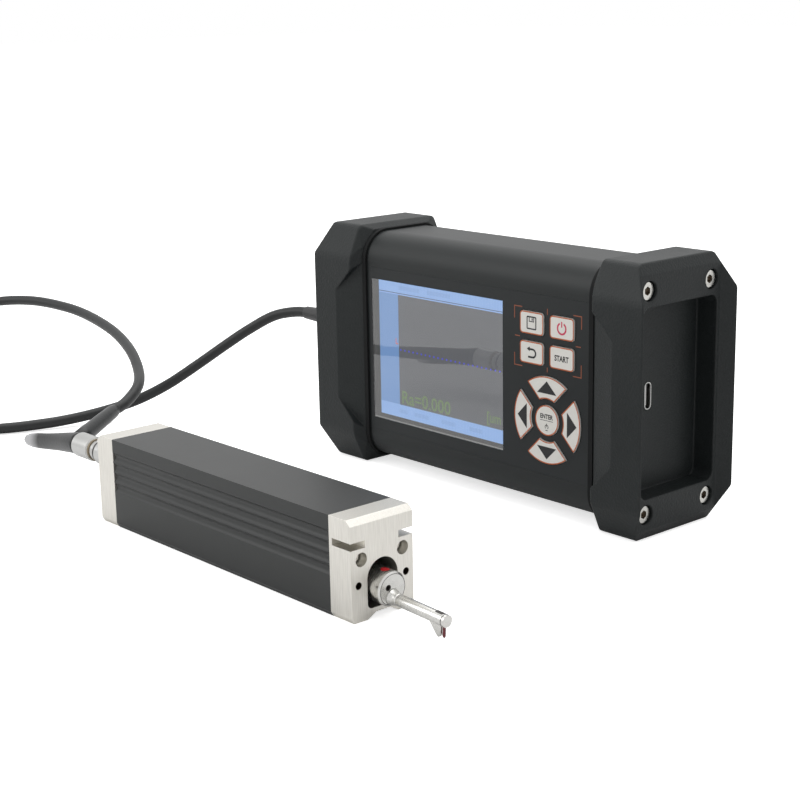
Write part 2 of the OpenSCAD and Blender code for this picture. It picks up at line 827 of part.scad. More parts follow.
module guide_rods() {
    from = housing_x - rod_seat;
    l = housing_l + 2 * rod_seat;
    color("silver") at_drive() difference() {
        along_x(from, l) at_rods() circle(d = rod_d);
        along_x(from - 1, rod_tap + 1.4) at_rods() circle(d = plate_screw_d + slack);
        along_x(from + l - rod_tap - 0.4, rod_tap + 1.4) at_rods() circle(d = plate_screw_d + slack);
    }
}

module lead_screw() {
    color("#b9a24a") at_drive() bar_x(screw_start, screw_end - screw_start, 0, screw_z, screw_d);
}

module screw_bearing() {
    color("#9a8850") at_drive() difference() {
        bar_x(front_back - bearing_l, bearing_l, 0, screw_z, bearing_d);
        bar_x(front_back - bearing_l - 1, bearing_l + 2, 0, screw_z, screw_d + 2 * running);
    }
}

module drive_motor() {
    color("#8f9194") at_drive() {
        bar_x(motor_x, motor[1] - 1.5, 0, screw_z, motor[0]);
        bar_x(motor_x + motor[1] - 1.5 - eps, 1.4, 0, screw_z, motor[0] / 2);
    }
}

module motor_bracket() {
    color("#6f7173") at_drive() difference() {
        along_x(motor_x + 6, 4) difference() {
            translate([-cavity_w / 2, screw_z - motor[0] / 2 - 2]) {
                square([cavity_w, cavity_z[1] - screw_z + motor[0] / 2 + 2]);
            }
            at_rods() circle(d = rod_d + slack);
        }
        bar_x(motor_x, motor[1], 0, screw_z, motor[0] + slack);
    }
}

module drive_board() {
    color("#14502c") at_drive() translate([housing_x + 2, -cavity_w / 2 + 1.5, cavity_z[0]]) {
        cube([30, cavity_w - 3, board_t]);
    }
}

module carriage() {
    color("#7d8286") at_drive() difference() {
        union() {
            translate([carriage_x, -carriage_w / 2, carriage_z[0]]) {
                cube([carriage_l, carriage_w, carriage_z[1] - carriage_z[0]]);
            }
            for (side = [-1, 1]) {
                translate([pivot_x - 4, side > 0 ? ear_in : -ear_in - ear_t, ear_low]) {
                    cube([8, ear_t, carriage_z[0] - ear_low + 1]);
                }
            }
        }
        along_x(carriage_x - 1, carriage_l + 2) {
            at_rods() circle(d = rod_d + 2 * running);
            translate([0, screw_z]) circle(d = screw_d + 2 * running);
        }
        bar_y(pivot_x, pivot_z, 2 * (ear_in + ear_t) + 2, pin_d + slack);
    }
}

module pivot_pin() {
    color("silver") at_drive() bar_y(pivot_x, pivot_z, 2 * (ear_in + ear_t), pin_d);
}

module pickup_body() {
    color("#b9bbbd") at_pickup() difference() {
        union() {
            bar_x(pivot_x - barrel_back, collar_back - pivot_x + barrel_back + eps, 0, pivot_z, barrel_d);
            translate([collar_back, 0, pivot_z]) rotate([0, 90, 0]) rotate_extrude() polygon([
                [0, 0], [collar[0] / 2 - edge, 0], [collar[0] / 2, edge], [collar[0] / 2, collar[1] - edge],
                [collar[0] / 2 - edge, collar[1]], [0, collar[1]]
            ]);
        }
        bar_y(pivot_x, pivot_z, barrel_d + 2, pin_d + 2 * running);
        bar_x(arm_pivot_x - 4, collar_front - arm_pivot_x + 5, 0, nose_z, nose[0] + slack);
        bar_y(arm_pivot_x, nose_z, collar[0] + 2, arm_pin_d + slack);
        bar_x(collar_front - 3, 4, vent[0], pivot_z + vent[1], vent[2]);
        translate([mark_x, 0, pivot_z + collar[0] / 2 - mark_t]) cylinder(h = 2, d = mark_d + slack);
    }
}

module pickup_mark() {
    color("red") at_pickup() intersection() {
        bar_x(collar_back, collar[1], 0, pivot_z, collar[0]);
        translate([mark_x, 0, pivot_z + collar[0] / 2 - mark_t]) cylinder(h = 2, d = mark_d);
    }
}

// Nose tube with the skid blade under its front end
module nose_tube() {
    from = arm_pivot_x + 2;
    color("#c8c6c0") at_pickup() difference() {
        union() {
            bar_x(from, tip_x - from, 0, nose_z, nose[0]);
            translate([collar_front, 0, nose_z]) rotate([0, 90, 0]) {
                cylinder(h = nose_flare[1], d1 = nose_flare[0], d2 = nose[0]);
            }
            hull() {
                translate([skid_x - skid_l, -skid_t / 2, nose_z - nose[0] / 2 + skid_root]) {
                    cube([skid_l, skid_t, skid_root]);
                }
                bar_y(skid_x - 1.7 * skid_r, skid_bottom + skid_r, skid_t, 2 * skid_r);
            }
        }
        bar_x(from - 1, tip_x - from + 1 - nose_wall, 0, nose_z, nose[1]);
        translate([needle_x - needle_slot / 2, -needle_slot / 2, skid_bottom - 1]) {
            cube([needle_slot, needle_slot, nose_z - skid_bottom + 1]);
        }
    }
}

module stylus_pin() {
    color("silver") at_pickup() bar_y(arm_pivot_x, nose_z, collar[0] - 1.2, arm_pin_d);
}

module stylus_arm() {
    color("#a8a8a8") at_pickup() difference() {
        union() {
            bar_x(arm_pivot_x, needle_x + needle_d / 2 - arm_pivot_x, 0, nose_z, arm_d);
            bar_y(arm_pivot_x, nose_z, 1.6, arm_eye);
        }
        bar_y(arm_pivot_x, nose_z, 3, arm_pin_d + 2 * running);
    }
}

module stylus_needle() {
    color("#5a1222") at_pickup() translate([needle_x, 0, skid_bottom]) {
        cylinder(h = 0.5, d1 = 0.2, d2 = needle_d);
        translate([0, 0, 0.5 - eps]) cylinder(h = nose_z - skid_bottom - 0.5 - arm_d / 2, d = needle_d);
    }
}

// Cable and its ends

module drive_socket() {
    color("#b5b7b8") at_drive() {
        bar_x(drive_rear - socket_flange, socket_flange, 0, plug_z, drive_socket_d + 2);
        bar_x(drive_rear - eps, plate_t + 2, 0, plug_z, drive_socket_d);
    }
}

module drive_plug() {
    r = plug[0] / 2;
    color("#c4c8c9") at_drive() translate([plug_start, 0, plug_z]) rotate([0, -90, 0]) {
        rotate_extrude() polygon([
            [0, 0], [r, 0], [r, plug[1] - plug_neck[0]],
            [r - plug_neck[2], plug[1] - plug_neck[0] + plug_neck[2]],
            [r - plug_neck[2], plug[1] - plug_neck[1] - plug_edge], [r, plug[1] - plug_neck[1]],
            [r, plug[1] - plug_edge], [r - plug_edge, plug[1]], [0, plug[1]]
        ]);
    }
}

// Shrink sleeve over the plug, with its flat tail and the branch that the cable leaves by
module plug_sleeve() {
    color("#171717") {
        hull() {
            bar_x(plug_end - 0.5, 0.5, drive_y, plug_z, plug[0] - 0.4, $fn = 32);
            bar_x(plug_end - 8, 0.5, drive_y, plug_z - 0.8, plug[0] - 1.4, $fn = 32);
        }
        hull() {
            bar_x(plug_end - 8, 0.5, drive_y, plug_z - 0.8, plug[0] - 1.4, $fn = 32);
            translate(sleeve_tail) scale([1.6, 0.5, 1]) sphere(d = 5.6, $fn = 24);
        }
        bar_between(sleeve_from, sleeve_to, sleeve_d + 1, sleeve_d);
    }
}

// Smooth curve through the cable's points
function curve(p, i, t) =
    let (
        a = p[max(i - 1, 0)], b = p[i], c = p[i + 1], d = p[min(i + 2, len(p) - 1)]
    )
    0.5 * (2 * b + (c - a) * t + (2 * a - 5 * b + 4 * c - d) * t * t + (3 * b - a - 3 * c + d) * t * t * t);

function unit(v) = v / norm(v);

cable_path = [
    for (i = [0:len(cable_points) - 2], s = [0:cable_steps - 1]) curve(cable_points, i, s / cable_steps),
    cable_points[len(cable_points) - 1]
];

// Ring of points round the path at place i
function cable_ring(i) =
    let (
        n = len(cable_path), t = unit(cable_path[min(i + 1, n - 1)] - cable_path[max(i - 1, 0)]),
        side = unit(cross([0, 0, 1], t)), up = cross(t, side)
    )
    [for (k = [0:cable_sides - 1])
        let (a = 360 * k / cable_sides)
        cable_path[i] + cable_d / 2 * (cos(a) * side + sin(a) * up)];

module cable() {
    n = len(cable_path);
    points = [for (i = [0:n - 1]) each cable_ring(i)];
    sides = [
        for (i = [0:n - 2], k = [0:cable_sides - 1])
            let (a = i * cable_sides + k, b = i * cable_sides + (k + 1) % cable_sides)
            each [[a, a + cable_sides, b], [b, a + cable_sides, b + cable_sides]]
    ];
    start = [for (k = [0:cable_sides - 1]) k];
    finish = [for (k = [cable_sides - 1:-1:0]) (n - 1) * cable_sides + k];
    color("#1c1d1e") polyhedron(points, concat([start], sides, [finish]));
}

module host_plug() {
    reach = host_socket_at.x - host_plug_end.x;
    color("#1a1a1b") difference() {
        translate([host_socket_at.x - slack, host_at.y, socket_z]) rotate([0, -90, 0]) {
            rotate_extrude() polygon([
                [0, 0], [host_nut.x / 2, 0], [host_nut.x / 2, host_nut.y],
                [host_nut.x / 2 - nut_edge, host_nut.y + nut_edge],
                [host_boot[0] / 2 + nut_edge, host_nut.y + 2 * nut_edge],
                [host_boot[0] / 2, host_nut.y + boot_root], [host_boot[1] / 2, reach - boot_root],
                [cable_d / 2 + boot_lip, reach], [0, reach]
            ]);
        }
        bar_x(host_socket_at.x - socket_out - plug_room, socket_out + 2, host_at.y, socket_z,
            host_socket_d + slack);
    }
}

host_case();
left_cap();
right_cap();
left_cap_screws();
right_cap_screws();
left_seal();
right_seal();
front_overlay();
display_glass();
display_panel();
key_board();
snap_domes();
key_save();
key_power();
key_back();
key_start();
key_up();
key_down();
key_left();
key_right();
key_enter();
main_board();
board_pillars();
board_screws();
board_chips();
battery_pack();
port_board();
usb_socket();
host_socket();
drive_housing();
front_plate();
rear_plate();
front_plate_screws();
rear_plate_screws();
guide_rods();
lead_screw();
screw_bearing();
drive_motor();
motor_bracket();
drive_board();
carriage();
pivot_pin();
pickup_body();
pickup_mark();
nose_tube();
stylus_pin();
stylus_arm();
stylus_needle();
drive_socket();
drive_plug();
plug_sleeve();
cable();
host_plug();
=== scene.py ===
import bpy
import bmesh
from math import cos, pi, radians, sin
from mathutils import Matrix, Vector


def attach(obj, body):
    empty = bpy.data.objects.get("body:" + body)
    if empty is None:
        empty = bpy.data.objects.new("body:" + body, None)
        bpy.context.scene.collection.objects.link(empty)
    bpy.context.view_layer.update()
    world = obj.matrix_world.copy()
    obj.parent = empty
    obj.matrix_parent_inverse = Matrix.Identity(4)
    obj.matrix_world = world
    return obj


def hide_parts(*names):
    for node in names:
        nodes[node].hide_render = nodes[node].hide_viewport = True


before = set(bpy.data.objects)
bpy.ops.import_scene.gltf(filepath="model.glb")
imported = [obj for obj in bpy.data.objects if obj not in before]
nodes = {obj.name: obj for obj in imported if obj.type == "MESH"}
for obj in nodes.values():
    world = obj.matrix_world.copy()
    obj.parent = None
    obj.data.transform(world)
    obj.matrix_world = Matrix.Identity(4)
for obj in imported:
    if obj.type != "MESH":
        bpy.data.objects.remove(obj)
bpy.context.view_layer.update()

# Camera: a long lens, a little above the table, that looks along the display unit's front
# from the right, so that the pickup comes first and the cable runs out of the left edge.
camera_at = (0.38594, -0.3437, 0.16881)


def add_object(name, data):
    """A new object in the scene that shows the data."""
    obj = bpy.data.objects.new(name, data)
    bpy.context.scene.collection.objects.link(obj)
    return obj


camera_data = bpy.data.cameras.new("camera")
camera_data.lens = 73.35
camera_data.sensor_width = 36.0
camera_data.sensor_fit = "HORIZONTAL"
camera_data.clip_start = 0.01
camera = add_object("camera", camera_data)
view_right = Vector((0.6633, 0.7482, -0.0186)).normalized()
view_up = Vector((-0.1679, 0.1730, 0.9706)).normalized()
view_back = view_right.cross(view_up).normalized()
view_up = view_back.cross(view_right)
view_turn = Matrix((view_right, view_up, view_back)).transposed().to_4x4()
camera.matrix_world = Matrix.Translation(camera_at) @ view_turn
bpy.context.scene.camera = camera

# Cable: a round black lead with an extruded, faintly satin jacket. It comes out of the branch of
# the shrink sleeve, springs up in a loop, comes back along the table and rises to the display unit.
mm = 0.001
cable_d = 0.0042
route_steps = 6
cable_mm = [
    (-116.1, -48.9, 20.9), (-119.8, -42.9, 21.3), (-123.8, -36.9, 22), (-127.3, -29.4, 23.3),
    (-133.8, -19.9, 26.6), (-147.8, -10.5, 29.2), (-167.8, -1.5, 33), (-192.8, 6.1, 36.2), (-222.8, 11.1, 38.5),
    (-244.8, 11.1, 39.5), (-264.8, 8.1, 39.5), (-283.8, 2.1, 37.5), (-303.8, -9.9, 33), (-318.8, -27.9, 25.5),
    (-323.8, -49.9, 16.5), (-315.8, -71.9, 8.5), (-296.8, -85.9, 4), (-270.8, -89.9, 2.4), (-244.8, -83.9, 2.4),
    (-222.8, -71.9, 2.4), (-206.8, -55.9, 2.4), (-198.8, -43.9, 2.4), (-194.3, -32.9, 2.5),
    (-189.8, -19.9, 3.1), (-184.8, -5.9, 5), (-178.8, 7.1, 8.5), (-171.8, 18.1, 14.4), (-163.8, 28.1, 22.5),
    (-154.8, 36.1, 30.8), (-145.8, 42.1, 37.9), (-135.8, 47.3, 44), (-125.8, 50.9, 46.5), (-117.8, 52.1, 46.8),
    (-110.8, 52.1, 46.8)]


def smooth_route(points, steps):
    """The curve through the points, with that many steps between each two."""
    route = []
    for i in range(len(points) - 1):
        a, b = points[max(i - 1, 0)], points[i]
        c, d = points[i + 1], points[min(i + 2, len(points) - 1)]
        for s in range(steps):
            t = s / steps
            route.append(0.5 * (2 * b + (c - a) * t + (2 * a - 5 * b + 4 * c - d) * t ** 2
                                + (3 * b - a - 3 * c + d) * t ** 3))
    return route + [points[-1]]


def shader(name, colour, roughness, metallic=0.0, specular=0.5):
    """A new material with one Principled shader: its tree and the shader."""
    mat = bpy.data.materials.new(name)
    mat.use_nodes = True
    bsdf = mat.node_tree.nodes["Principled BSDF"]
    bsdf.inputs["Base Color"].default_value = (*colour, 1.0)
    bsdf.inputs["Roughness"].default_value = roughness
    bsdf.inputs["Metallic"].default_value = metallic
    bsdf.inputs["Specular IOR Level"].default_value = specular
    return mat, mat.node_tree, bsdf


def wire(tree, *pairs):
    """Links each pair of sockets, from an output to an input."""
    for output, target in pairs:
        tree.links.new(output, target)


def colour_mix(tree, a=None, b=None):
    """A node that mixes two colours. One that isn't given is linked later."""
    mix = tree.nodes.new("ShaderNodeMix")
    mix.data_type = "RGBA"
    for end, colour in (("A", a), ("B", b)):
        if colour:
            mix.inputs[end].default_value = (*colour, 1.0)
    return mix


def sum_node(tree, operation, value=0.0):
    """A node that does one sum, with that value as its second number."""
    node = tree.nodes.new("ShaderNodeMath")
    node.operation = operation
    node.inputs[1].default_value = value
    return node


def ramp(tree, start=0.0, end=1.0, low=0.0, high=1.0):
    """A node that maps the range from start to end onto the one from low to high."""
    node = tree.nodes.new("ShaderNodeMapRange")
    for socket, value in (("From Min", start), ("From Max", end), ("To Min", low), ("To Max", high)):
        node.inputs[socket].default_value = value
    return node


def surface_group():
    """Shared effect: fine moulded or blasted grain with slow patches of handling, as height, tint and roughness."""
    group = bpy.data.node_groups.new("grain_and_handling", "ShaderNodeTree")
    sockets = group.interface
    for name, value in (("Grain Scale", 2500.0), ("Patch Scale", 40.0), ("Roughness", 0.5), ("Spread", 0.1)):
        sockets.new_socket(name, in_out="INPUT", socket_type="NodeSocketFloat").default_value = value
    for name in ("Dark", "Light"):
        sockets.new_socket(name, in_out="INPUT", socket_type="NodeSocketColor")
    for name, kind in (("Color", "NodeSocketColor"), ("Roughness", "NodeSocketFloat"), ("Height", "NodeSocketFloat")):
        sockets.new_socket(name, in_out="OUTPUT", socket_type=kind)
    make = group.nodes.new
    entry, leave, place = make("NodeGroupInput"), make("NodeGroupOutput"), make("ShaderNodeTexCoord")
    grain, patch = make("ShaderNodeTexNoise"), make("ShaderNodeTexNoise")
    grain.inputs["Detail"].default_value = 2.0
    patch.inputs["Detail"].default_value = 4.0
    for noise, scale in ((grain, "Grain Scale"), (patch, "Patch Scale")):
        wire(group, (place.outputs["Object"], noise.inputs["Vector"]), (entry.outputs[scale], noise.inputs["Scale"]))
    half, both = sum_node(group, "MULTIPLY", 0.5), sum_node(group, "MULTIPLY_ADD", 0.5)
    centred, rough = sum_node(group, "SUBTRACT", 0.5), sum_node(group, "MULTIPLY_ADD")
    rough.use_clamp = True
    tint = colour_mix(group)
    wire(group, (patch.outputs["Fac"], half.inputs[0]), (grain.outputs["Fac"], both.inputs[0]),
         (half.outputs[0], both.inputs[2]), (both.outputs[0], tint.inputs["Factor"]),
         (entry.outputs["Dark"], tint.inputs["A"]), (entry.outputs["Light"], tint.inputs["B"]),
         (patch.outputs["Fac"], centred.inputs[0]), (centred.outputs[0], rough.inputs[0]),
         (entry.outputs["Spread"], rough.inputs[1]), (entry.outputs["Roughness"], rough.inputs[2]),
         (tint.outputs["Result"], leave.inputs["Color"]), (rough.outputs[0], leave.inputs["Roughness"]),
         (grain.outputs["Fac"], leave.inputs["Height"]))
    return group


grain_group = surface_group()


def grained(name, dark, light, roughness, spread, grain_scale, bump, patch_scale=40.0, metallic=0.0, specular=0.5,
            worn_edge=0.0):
    """A material with grain and handling marks: colour between dark and light, bump and worn edge in metres."""
    mat, tree, bsdf = shader(name, light, roughness, metallic, specular)
    effect = tree.nodes.new("ShaderNodeGroup")
    effect.node_tree = grain_group
    for socket, value in (("Grain Scale", grain_scale), ("Patch Scale", patch_scale), ("Roughness", roughness),
                          ("Spread", spread), ("Dark", (*dark, 1.0)), ("Light", (*light, 1.0))):
        effect.inputs[socket].default_value = value
    relief = tree.nodes.new("ShaderNodeBump")
    relief.inputs["Strength"].default_value = 1.0
    relief.inputs["Distance"].default_value = bump
    wire(tree, (effect.outputs["Color"], bsdf.inputs["Base Color"]),
         (effect.outputs["Roughness"], bsdf.inputs["Roughness"]), (effect.outputs["Height"], relief.inputs["Height"]),
         (relief.outputs["Normal"], bsdf.inputs["Normal"]))
    if worn_edge:
        worn = tree.nodes.new("ShaderNodeBevel")
        worn.samples = 6
        worn.inputs["Radius"].default_value = worn_edge
        wire(tree, (worn.outputs["Normal"], relief.inputs["Normal"]))
    return mat


def dress(mat, *names):
    """Gives CAD nodes a material."""
    for name in names:
        mesh = nodes[name].data
        mesh.materials.clear()
        mesh.materials.append(mat)


cable_jacket = grained("cable_jacket", (0.0095, 0.0105, 0.0108), (0.018, 0.0194, 0.0198), roughness=0.42, spread=0.12,
                       grain_scale=1800.0, bump=0.00002, specular=0.35)
cable_route = smooth_route([Vector(p) * mm for p in cable_mm], route_steps)
cable_curve = bpy.data.curves.new("cable_line", "CURVE")
cable_curve.dimensions = "3D"
cable_curve.bevel_depth = cable_d / 2
cable_curve.bevel_resolution = 6
cable_curve.use_fill_caps = True
cable_spline = cable_curve.splines.new("POLY")
cable_spline.points.add(len(cable_route) - 1)
for point, place in zip(cable_spline.points, cable_route):
    point.co = (*place, 1.0)
cable_spline.use_smooth = True
cable_curve.materials.append(cable_jacket)
cable_lead = add_object("cable_lead", cable_curve)
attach(cable_lead, "root")
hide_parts("cable")

# Shrink sleeve: black heat-shrink tube drawn over the plug's end. Its closed tail is pressed flat
# and its colour turns pale grey towards its glossy tip, and a short branch of it grips the cable.
sleeve_black = grained("sleeve_black", (0.007, 0.0082, 0.0088), (0.016, 0.0176, 0.0184), roughness=0.34, spread=0.15,
                       grain_scale=900.0, bump=0.00005, specular=0.3)
pale_from, pale_to = -0.1315, -0.1375
sleeve_tree = sleeve_black.node_tree
sleeve_shader = sleeve_tree.nodes["Principled BSDF"]
sleeve_shader.inputs["Coat Weight"].default_value = 0.15
sleeve_shader.inputs["Coat Roughness"].default_value = 0.12
tip_place = sleeve_tree.nodes.new("ShaderNodeTexCoord")
tip_split = sleeve_tree.nodes.new("ShaderNodeSeparateXYZ")
tip_range = ramp(sleeve_tree, pale_from, pale_to)
tip_mix = colour_mix(sleeve_tree, b=(0.42, 0.42, 0.43))
wire(sleeve_tree, (tip_place.outputs["Object"], tip_split.inputs["Vector"]),
     (tip_split.outputs["X"], tip_range.inputs["Value"]), (tip_range.outputs["Result"], tip_mix.inputs["Factor"]),
     (sleeve_shader.inputs["Base Color"].links[0].from_socket, tip_mix.inputs["A"]),
     (tip_mix.outputs["Result"], sleeve_shader.inputs["Base Color"]))


def as_mesh(name, bm):
    """A finished bmesh as a mesh."""
    mesh = bpy.data.meshes.new(name)
    bm.to_mesh(mesh)
    bm.free()
    return mesh


def place_mesh(name, bm, mat, body, smooth=True):
    """Turns a finished bmesh into a piece that rides on a body."""
    bmesh.ops.recalc_face_normals(bm, faces=bm.faces[:])
    for face in bm.faces:
        face.smooth = smooth
    obj = add_object(name, as_mesh(name, bm))
    obj.data.materials.append(mat)
    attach(obj, body)
    return obj


def loft(stations, segments=32):
    """A closed tube through rings (centre, half width, half height, forward), in millimetres."""
    bm = bmesh.new()
    rings = []
    for centre, half_w, half_h, forward in stations:
        forward = Vector(forward).normalized()
        side = Vector((0, 0, 1)).cross(forward).normalized()
        turn = Matrix((side, forward.cross(side), forward)).transposed().to_4x4()
        ring = bmesh.ops.create_circle(bm, segments=segments, radius=1.0)["verts"]
        bmesh.ops.transform(bm, verts=ring, matrix=Matrix.Translation(centre) @ turn @ Matrix.Diagonal(
            (half_w, half_h, 1.0, 1.0)))
        rings.append(ring)
    loops = [[e for e in bm.edges if e.verts[0] in set(ring) and e.verts[1] in set(ring)] for ring in rings]
    for a, b in zip(loops, loops[1:]):
        bmesh.ops.bridge_loops(bm, edges=a + b)
    for ends in (loops[0], loops[-1]):
        bmesh.ops.edgeloop_fill(bm, edges=ends)
    bmesh.ops.scale(bm, vec=(mm, mm, mm), verts=bm.verts[:])
    return bm


sleeve_x, sleeve_y = -102.5, -63.8
sleeve_bm = loft([((sleeve_x - back, sleeve_y, z), half_w, half_h, (-1, 0, -0.16)) for back, z, half_w, half_h in (
    (0.02, 18.5, 4.05, 4.05), (1.5, 18.4, 3.95, 3.95), (5.3, 18.0, 3.6, 3.7), (10.3, 17.2, 2.9, 3.5),
    (16.3, 16.2, 2.1, 3.2), (23.3, 15.0, 1.55, 3.0), (30.3, 13.9, 1.3, 2.9), (35.3, 13.1, 1.25, 2.6),
    (38.8, 12.55, 1.1, 1.9), (40.3, 12.3, 0.6, 0.9))])
branch_from, branch_to = Vector((-106.5, -63.8, 18.5)), Vector((-123.8, -36.9, 22.0))
branch_bm = loft([(branch_from.lerp(branch_to, t), r, r, branch_to - branch_from) for t, r in (
    (0.0, 3.0), (0.24, 2.95), (0.5, 2.8), (0.75, 2.65), (0.95, 2.5), (1.0, 2.25))])
branch_mesh = as_mesh("branch_part", branch_bm)
sleeve_bm.from_mesh(branch_mesh)
bpy.data.meshes.remove(branch_mesh)
shrink_sleeve = place_mesh("shrink_sleeve", sleeve_bm, sleeve_black, "root")
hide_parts("plug_sleeve")

# Extruded case of the display unit: aluminium tube, blasted and anodised satin black, with the
# front panel's opening cut into its face. Its rounded top edge takes the light as a soft band.
case_black = grained("case_black", (0.0095, 0.0116, 0.0117), (0.0140, 0.0166, 0.0168), roughness=0.44, spread=0.06,
                     grain_scale=5000.0, bump=0.000006, specular=0.3)
dress(case_black, "host_case")

# End caps: black moulded bumpers with an eroded texture, screwed on over the ends of the tube.
# The mould rounds the corners that run along the cap more than the edges of its faces, and hands have
# polished the texture a little.
cap_moulded = grained("cap_moulded", (0.0078, 0.0100, 0.0103), (0.0132, 0.0162, 0.0165), roughness=0.50, spread=0.14,
                      grain_scale=1500.0, bump=0.00014, specular=0.3, worn_edge=0.0009)
dress(cap_moulded, "left_cap", "right_cap")


round_along, round_across, round_steps = 0.0018, 0.0005, 4
block_swell = 1.0004
foot_near = 0.0002
lengthwise = 0.6
weld_copy, weld_made, sliver = 0.000002, 0.000001, 0.0000005


def cap_work(name, bm):
    """A closed bmesh as an object that is only needed while a cap is made."""
    bmesh.ops.recalc_face_normals(bm, faces=bm.faces[:])
    return add_object(name, as_mesh(name, bm))


def cap_block(corners, along, radius, foot_x):
    """The plain block round a cap's corners, a hair larger, with its edges along or across the cap bevelled.
    The edges at its foot stay sharp."""
    middle = sum(corners, Vector()) / len(corners)
    bm = bmesh.new()
    for corner in corners:
        bm.verts.new(middle + (corner - middle) * block_swell)
    hull = bmesh.ops.convex_hull(bm, input=bm.verts[:])
    inside = {v for v in hull["geom_interior"] + hull["geom_unused"] if isinstance(v, bmesh.types.BMVert)}
    bmesh.ops.delete(bm, geom=list(inside), context="VERTS")
    bmesh.ops.dissolve_limit(bm, angle_limit=radians(1.0), verts=bm.verts[:], edges=bm.edges[:])
    edges = []
    for edge in bm.edges:
        a, b = (v.co for v in edge.verts)
        at_foot = max(abs(a.x - foot_x), abs(b.x - foot_x)) < foot_near
        if not at_foot and (abs(a.x - b.x) > lengthwise * (a - b).length) == along:
            edges.append(edge)
    bmesh.ops.bevel(bm, geom=edges, offset=radius, offset_type="OFFSET", affect="EDGES", segments=round_steps,
                    profile=0.5, material=-1, clamp_overlap=True)
    return cap_work("cap_block", bm)


def rounded_cap(name, foot_x):
    """A cap with rounded corners: a merged copy of it, cut by a block that is rounded along the cap and by one
    that is rounded across it."""
    copy_bm = bmesh.new()
    copy_bm.from_mesh(nodes[name].data)
    bmesh.ops.remove_doubles(copy_bm, verts=copy_bm.verts[:], dist=weld_copy)
    corners = [vert.co.copy() for vert in copy_bm.verts]
    cap = cap_work("cap_copy", copy_bm)
    blocks = [cap_block(corners, True, round_along, foot_x), cap_block(corners, False, round_across, foot_x)]
    for block in blocks:
        cut = cap.modifiers.new("rounding", "BOOLEAN")
        cut.operation = "INTERSECT"
        cut.solver = "EXACT"
        cut.object = block
    bpy.context.view_layer.update()
    rounded = bpy.data.meshes.new_from_object(cap.evaluated_get(bpy.context.evaluated_depsgraph_get()))
    bm = bmesh.new()
    bm.from_mesh(rounded)
    for mesh in [rounded] + [work.data for work in [cap] + blocks]:
        bpy.data.meshes.remove(mesh)
    bmesh.ops.triangulate(bm, faces=bm.faces[:])
    bmesh.ops.dissolve_degenerate(bm, dist=sliver, edges=bm.edges[:])
    bmesh.ops.remove_doubles(bm, verts=bm.verts[:], dist=weld_made)
    bmesh.ops.triangulate(bm, faces=bm.faces[:])
    piece = place_mesh(name + "_moulding", bm, cap_moulded, "root", smooth=False)
    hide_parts(name)


left_foot_x, right_foot_x = -0.0619, 0.0499
rounded_cap("left_cap", left_foot_x)
rounded_cap("right_cap", right_foot_x)

# Cap screws: nickel-plated socket head screws with a trace of turning marks. Painted shade darkens their
# hexagon sockets and the sides of the heads down in the wells. The same plating is on the small hidden screws,
# pins, rods and snap domes.
bright_plate = grained("bright_plate", (0.56, 0.55, 0.52), (0.76, 0.75, 0.71), roughness=0.26, spread=0.15,
                       grain_scale=3000.0, bump=0.000004, patch_scale=120.0, metallic=1.0)
dress(bright_plate, "snap_domes", "board_screws", "front_plate_screws", "rear_plate_screws", "guide_rods", "lead_screw",
      "pivot_pin", "stylus_pin")
head_mat = bright_plate.copy()
head_mat.name = "screw_heads"
case_middle_x = -0.006
# Painted shade: every part of a head that lies deeper in the cap than the head tops turns dark brownish grey.
shade_full_at, shade_clear_at = 0.0733, 0.0738
head_tree = head_mat.node_tree
head_shader = head_tree.nodes["Principled BSDF"]
head_place = head_tree.nodes.new("ShaderNodeTexCoord")
head_split = head_tree.nodes.new("ShaderNodeSeparateXYZ")
head_from_middle, head_reach = sum_node(head_tree, "ADD", -case_middle_x), sum_node(head_tree, "ABSOLUTE")
head_depth = ramp(head_tree, shade_full_at, shade_clear_at)
head_socket_shade = colour_mix(head_tree, a=(0.30, 0.265, 0.225))
wire(head_tree, (head_place.outputs["Object"], head_split.inputs["Vector"]),
     (head_split.outputs["X"], head_from_middle.inputs[0]), (head_from_middle.outputs[0], head_reach.inputs[0]),
     (head_reach.outputs[0], head_depth.inputs["Value"]), (head_depth.outputs["Result"], head_socket_shade.inputs["Factor"]),
     (head_shader.inputs["Base Color"].links[0].from_socket, head_socket_shade.inputs["B"]),
     (head_socket_shade.outputs["Result"], head_shader.inputs["Base Color"]))
dress(head_mat, "left_cap_screws", "right_cap_screws")

# Seals: soft black rubber bands that fill the step between the tube and each cap.
# They are dull, and their colour is darker than the caps as painted shade of the gap, so that the joint reads as a dark
# line.
seal_rubber = grained("seal_rubber", (0.005, 0.0055, 0.0056), (0.009, 0.0098, 0.01), roughness=0.8, spread=0.1,
                      grain_scale=1500.0, bump=0.00003, specular=0.2)
dress(seal_rubber, "left_seal", "right_seal")

# Front overlay: near-black printed film with a fine velvet texture, glued into the case's recess.
# Orange brackets and ticks are printed on it round the four upper keys.
overlay_film = grained("overlay_film", (0.0105, 0.0128, 0.0134), (0.0142, 0.0168, 0.0176), roughness=0.45, spread=0.05,
                       grain_scale=7000.0, bump=0.000004, specular=0.3)
dress(overlay_film, "front_overlay")
panel_corner = Vector((-0.06225, 0.0334, 0.0144))
panel_turn = Matrix(((1, 0, 0, 0), (0, 0, -1, 0), (0, 1, 0, 0), (0, 0, 0, 1)))


def on_panel(x, z, depth):
    """Place of flat work drawn in millimetres, at x and z on the overlay and that depth behind its face."""
    spot = panel_corner + Vector((x, depth, z)) * mm
    return Matrix.Translation(spot) @ panel_turn @ Matrix.Diagonal((mm, mm, mm, 1.0))


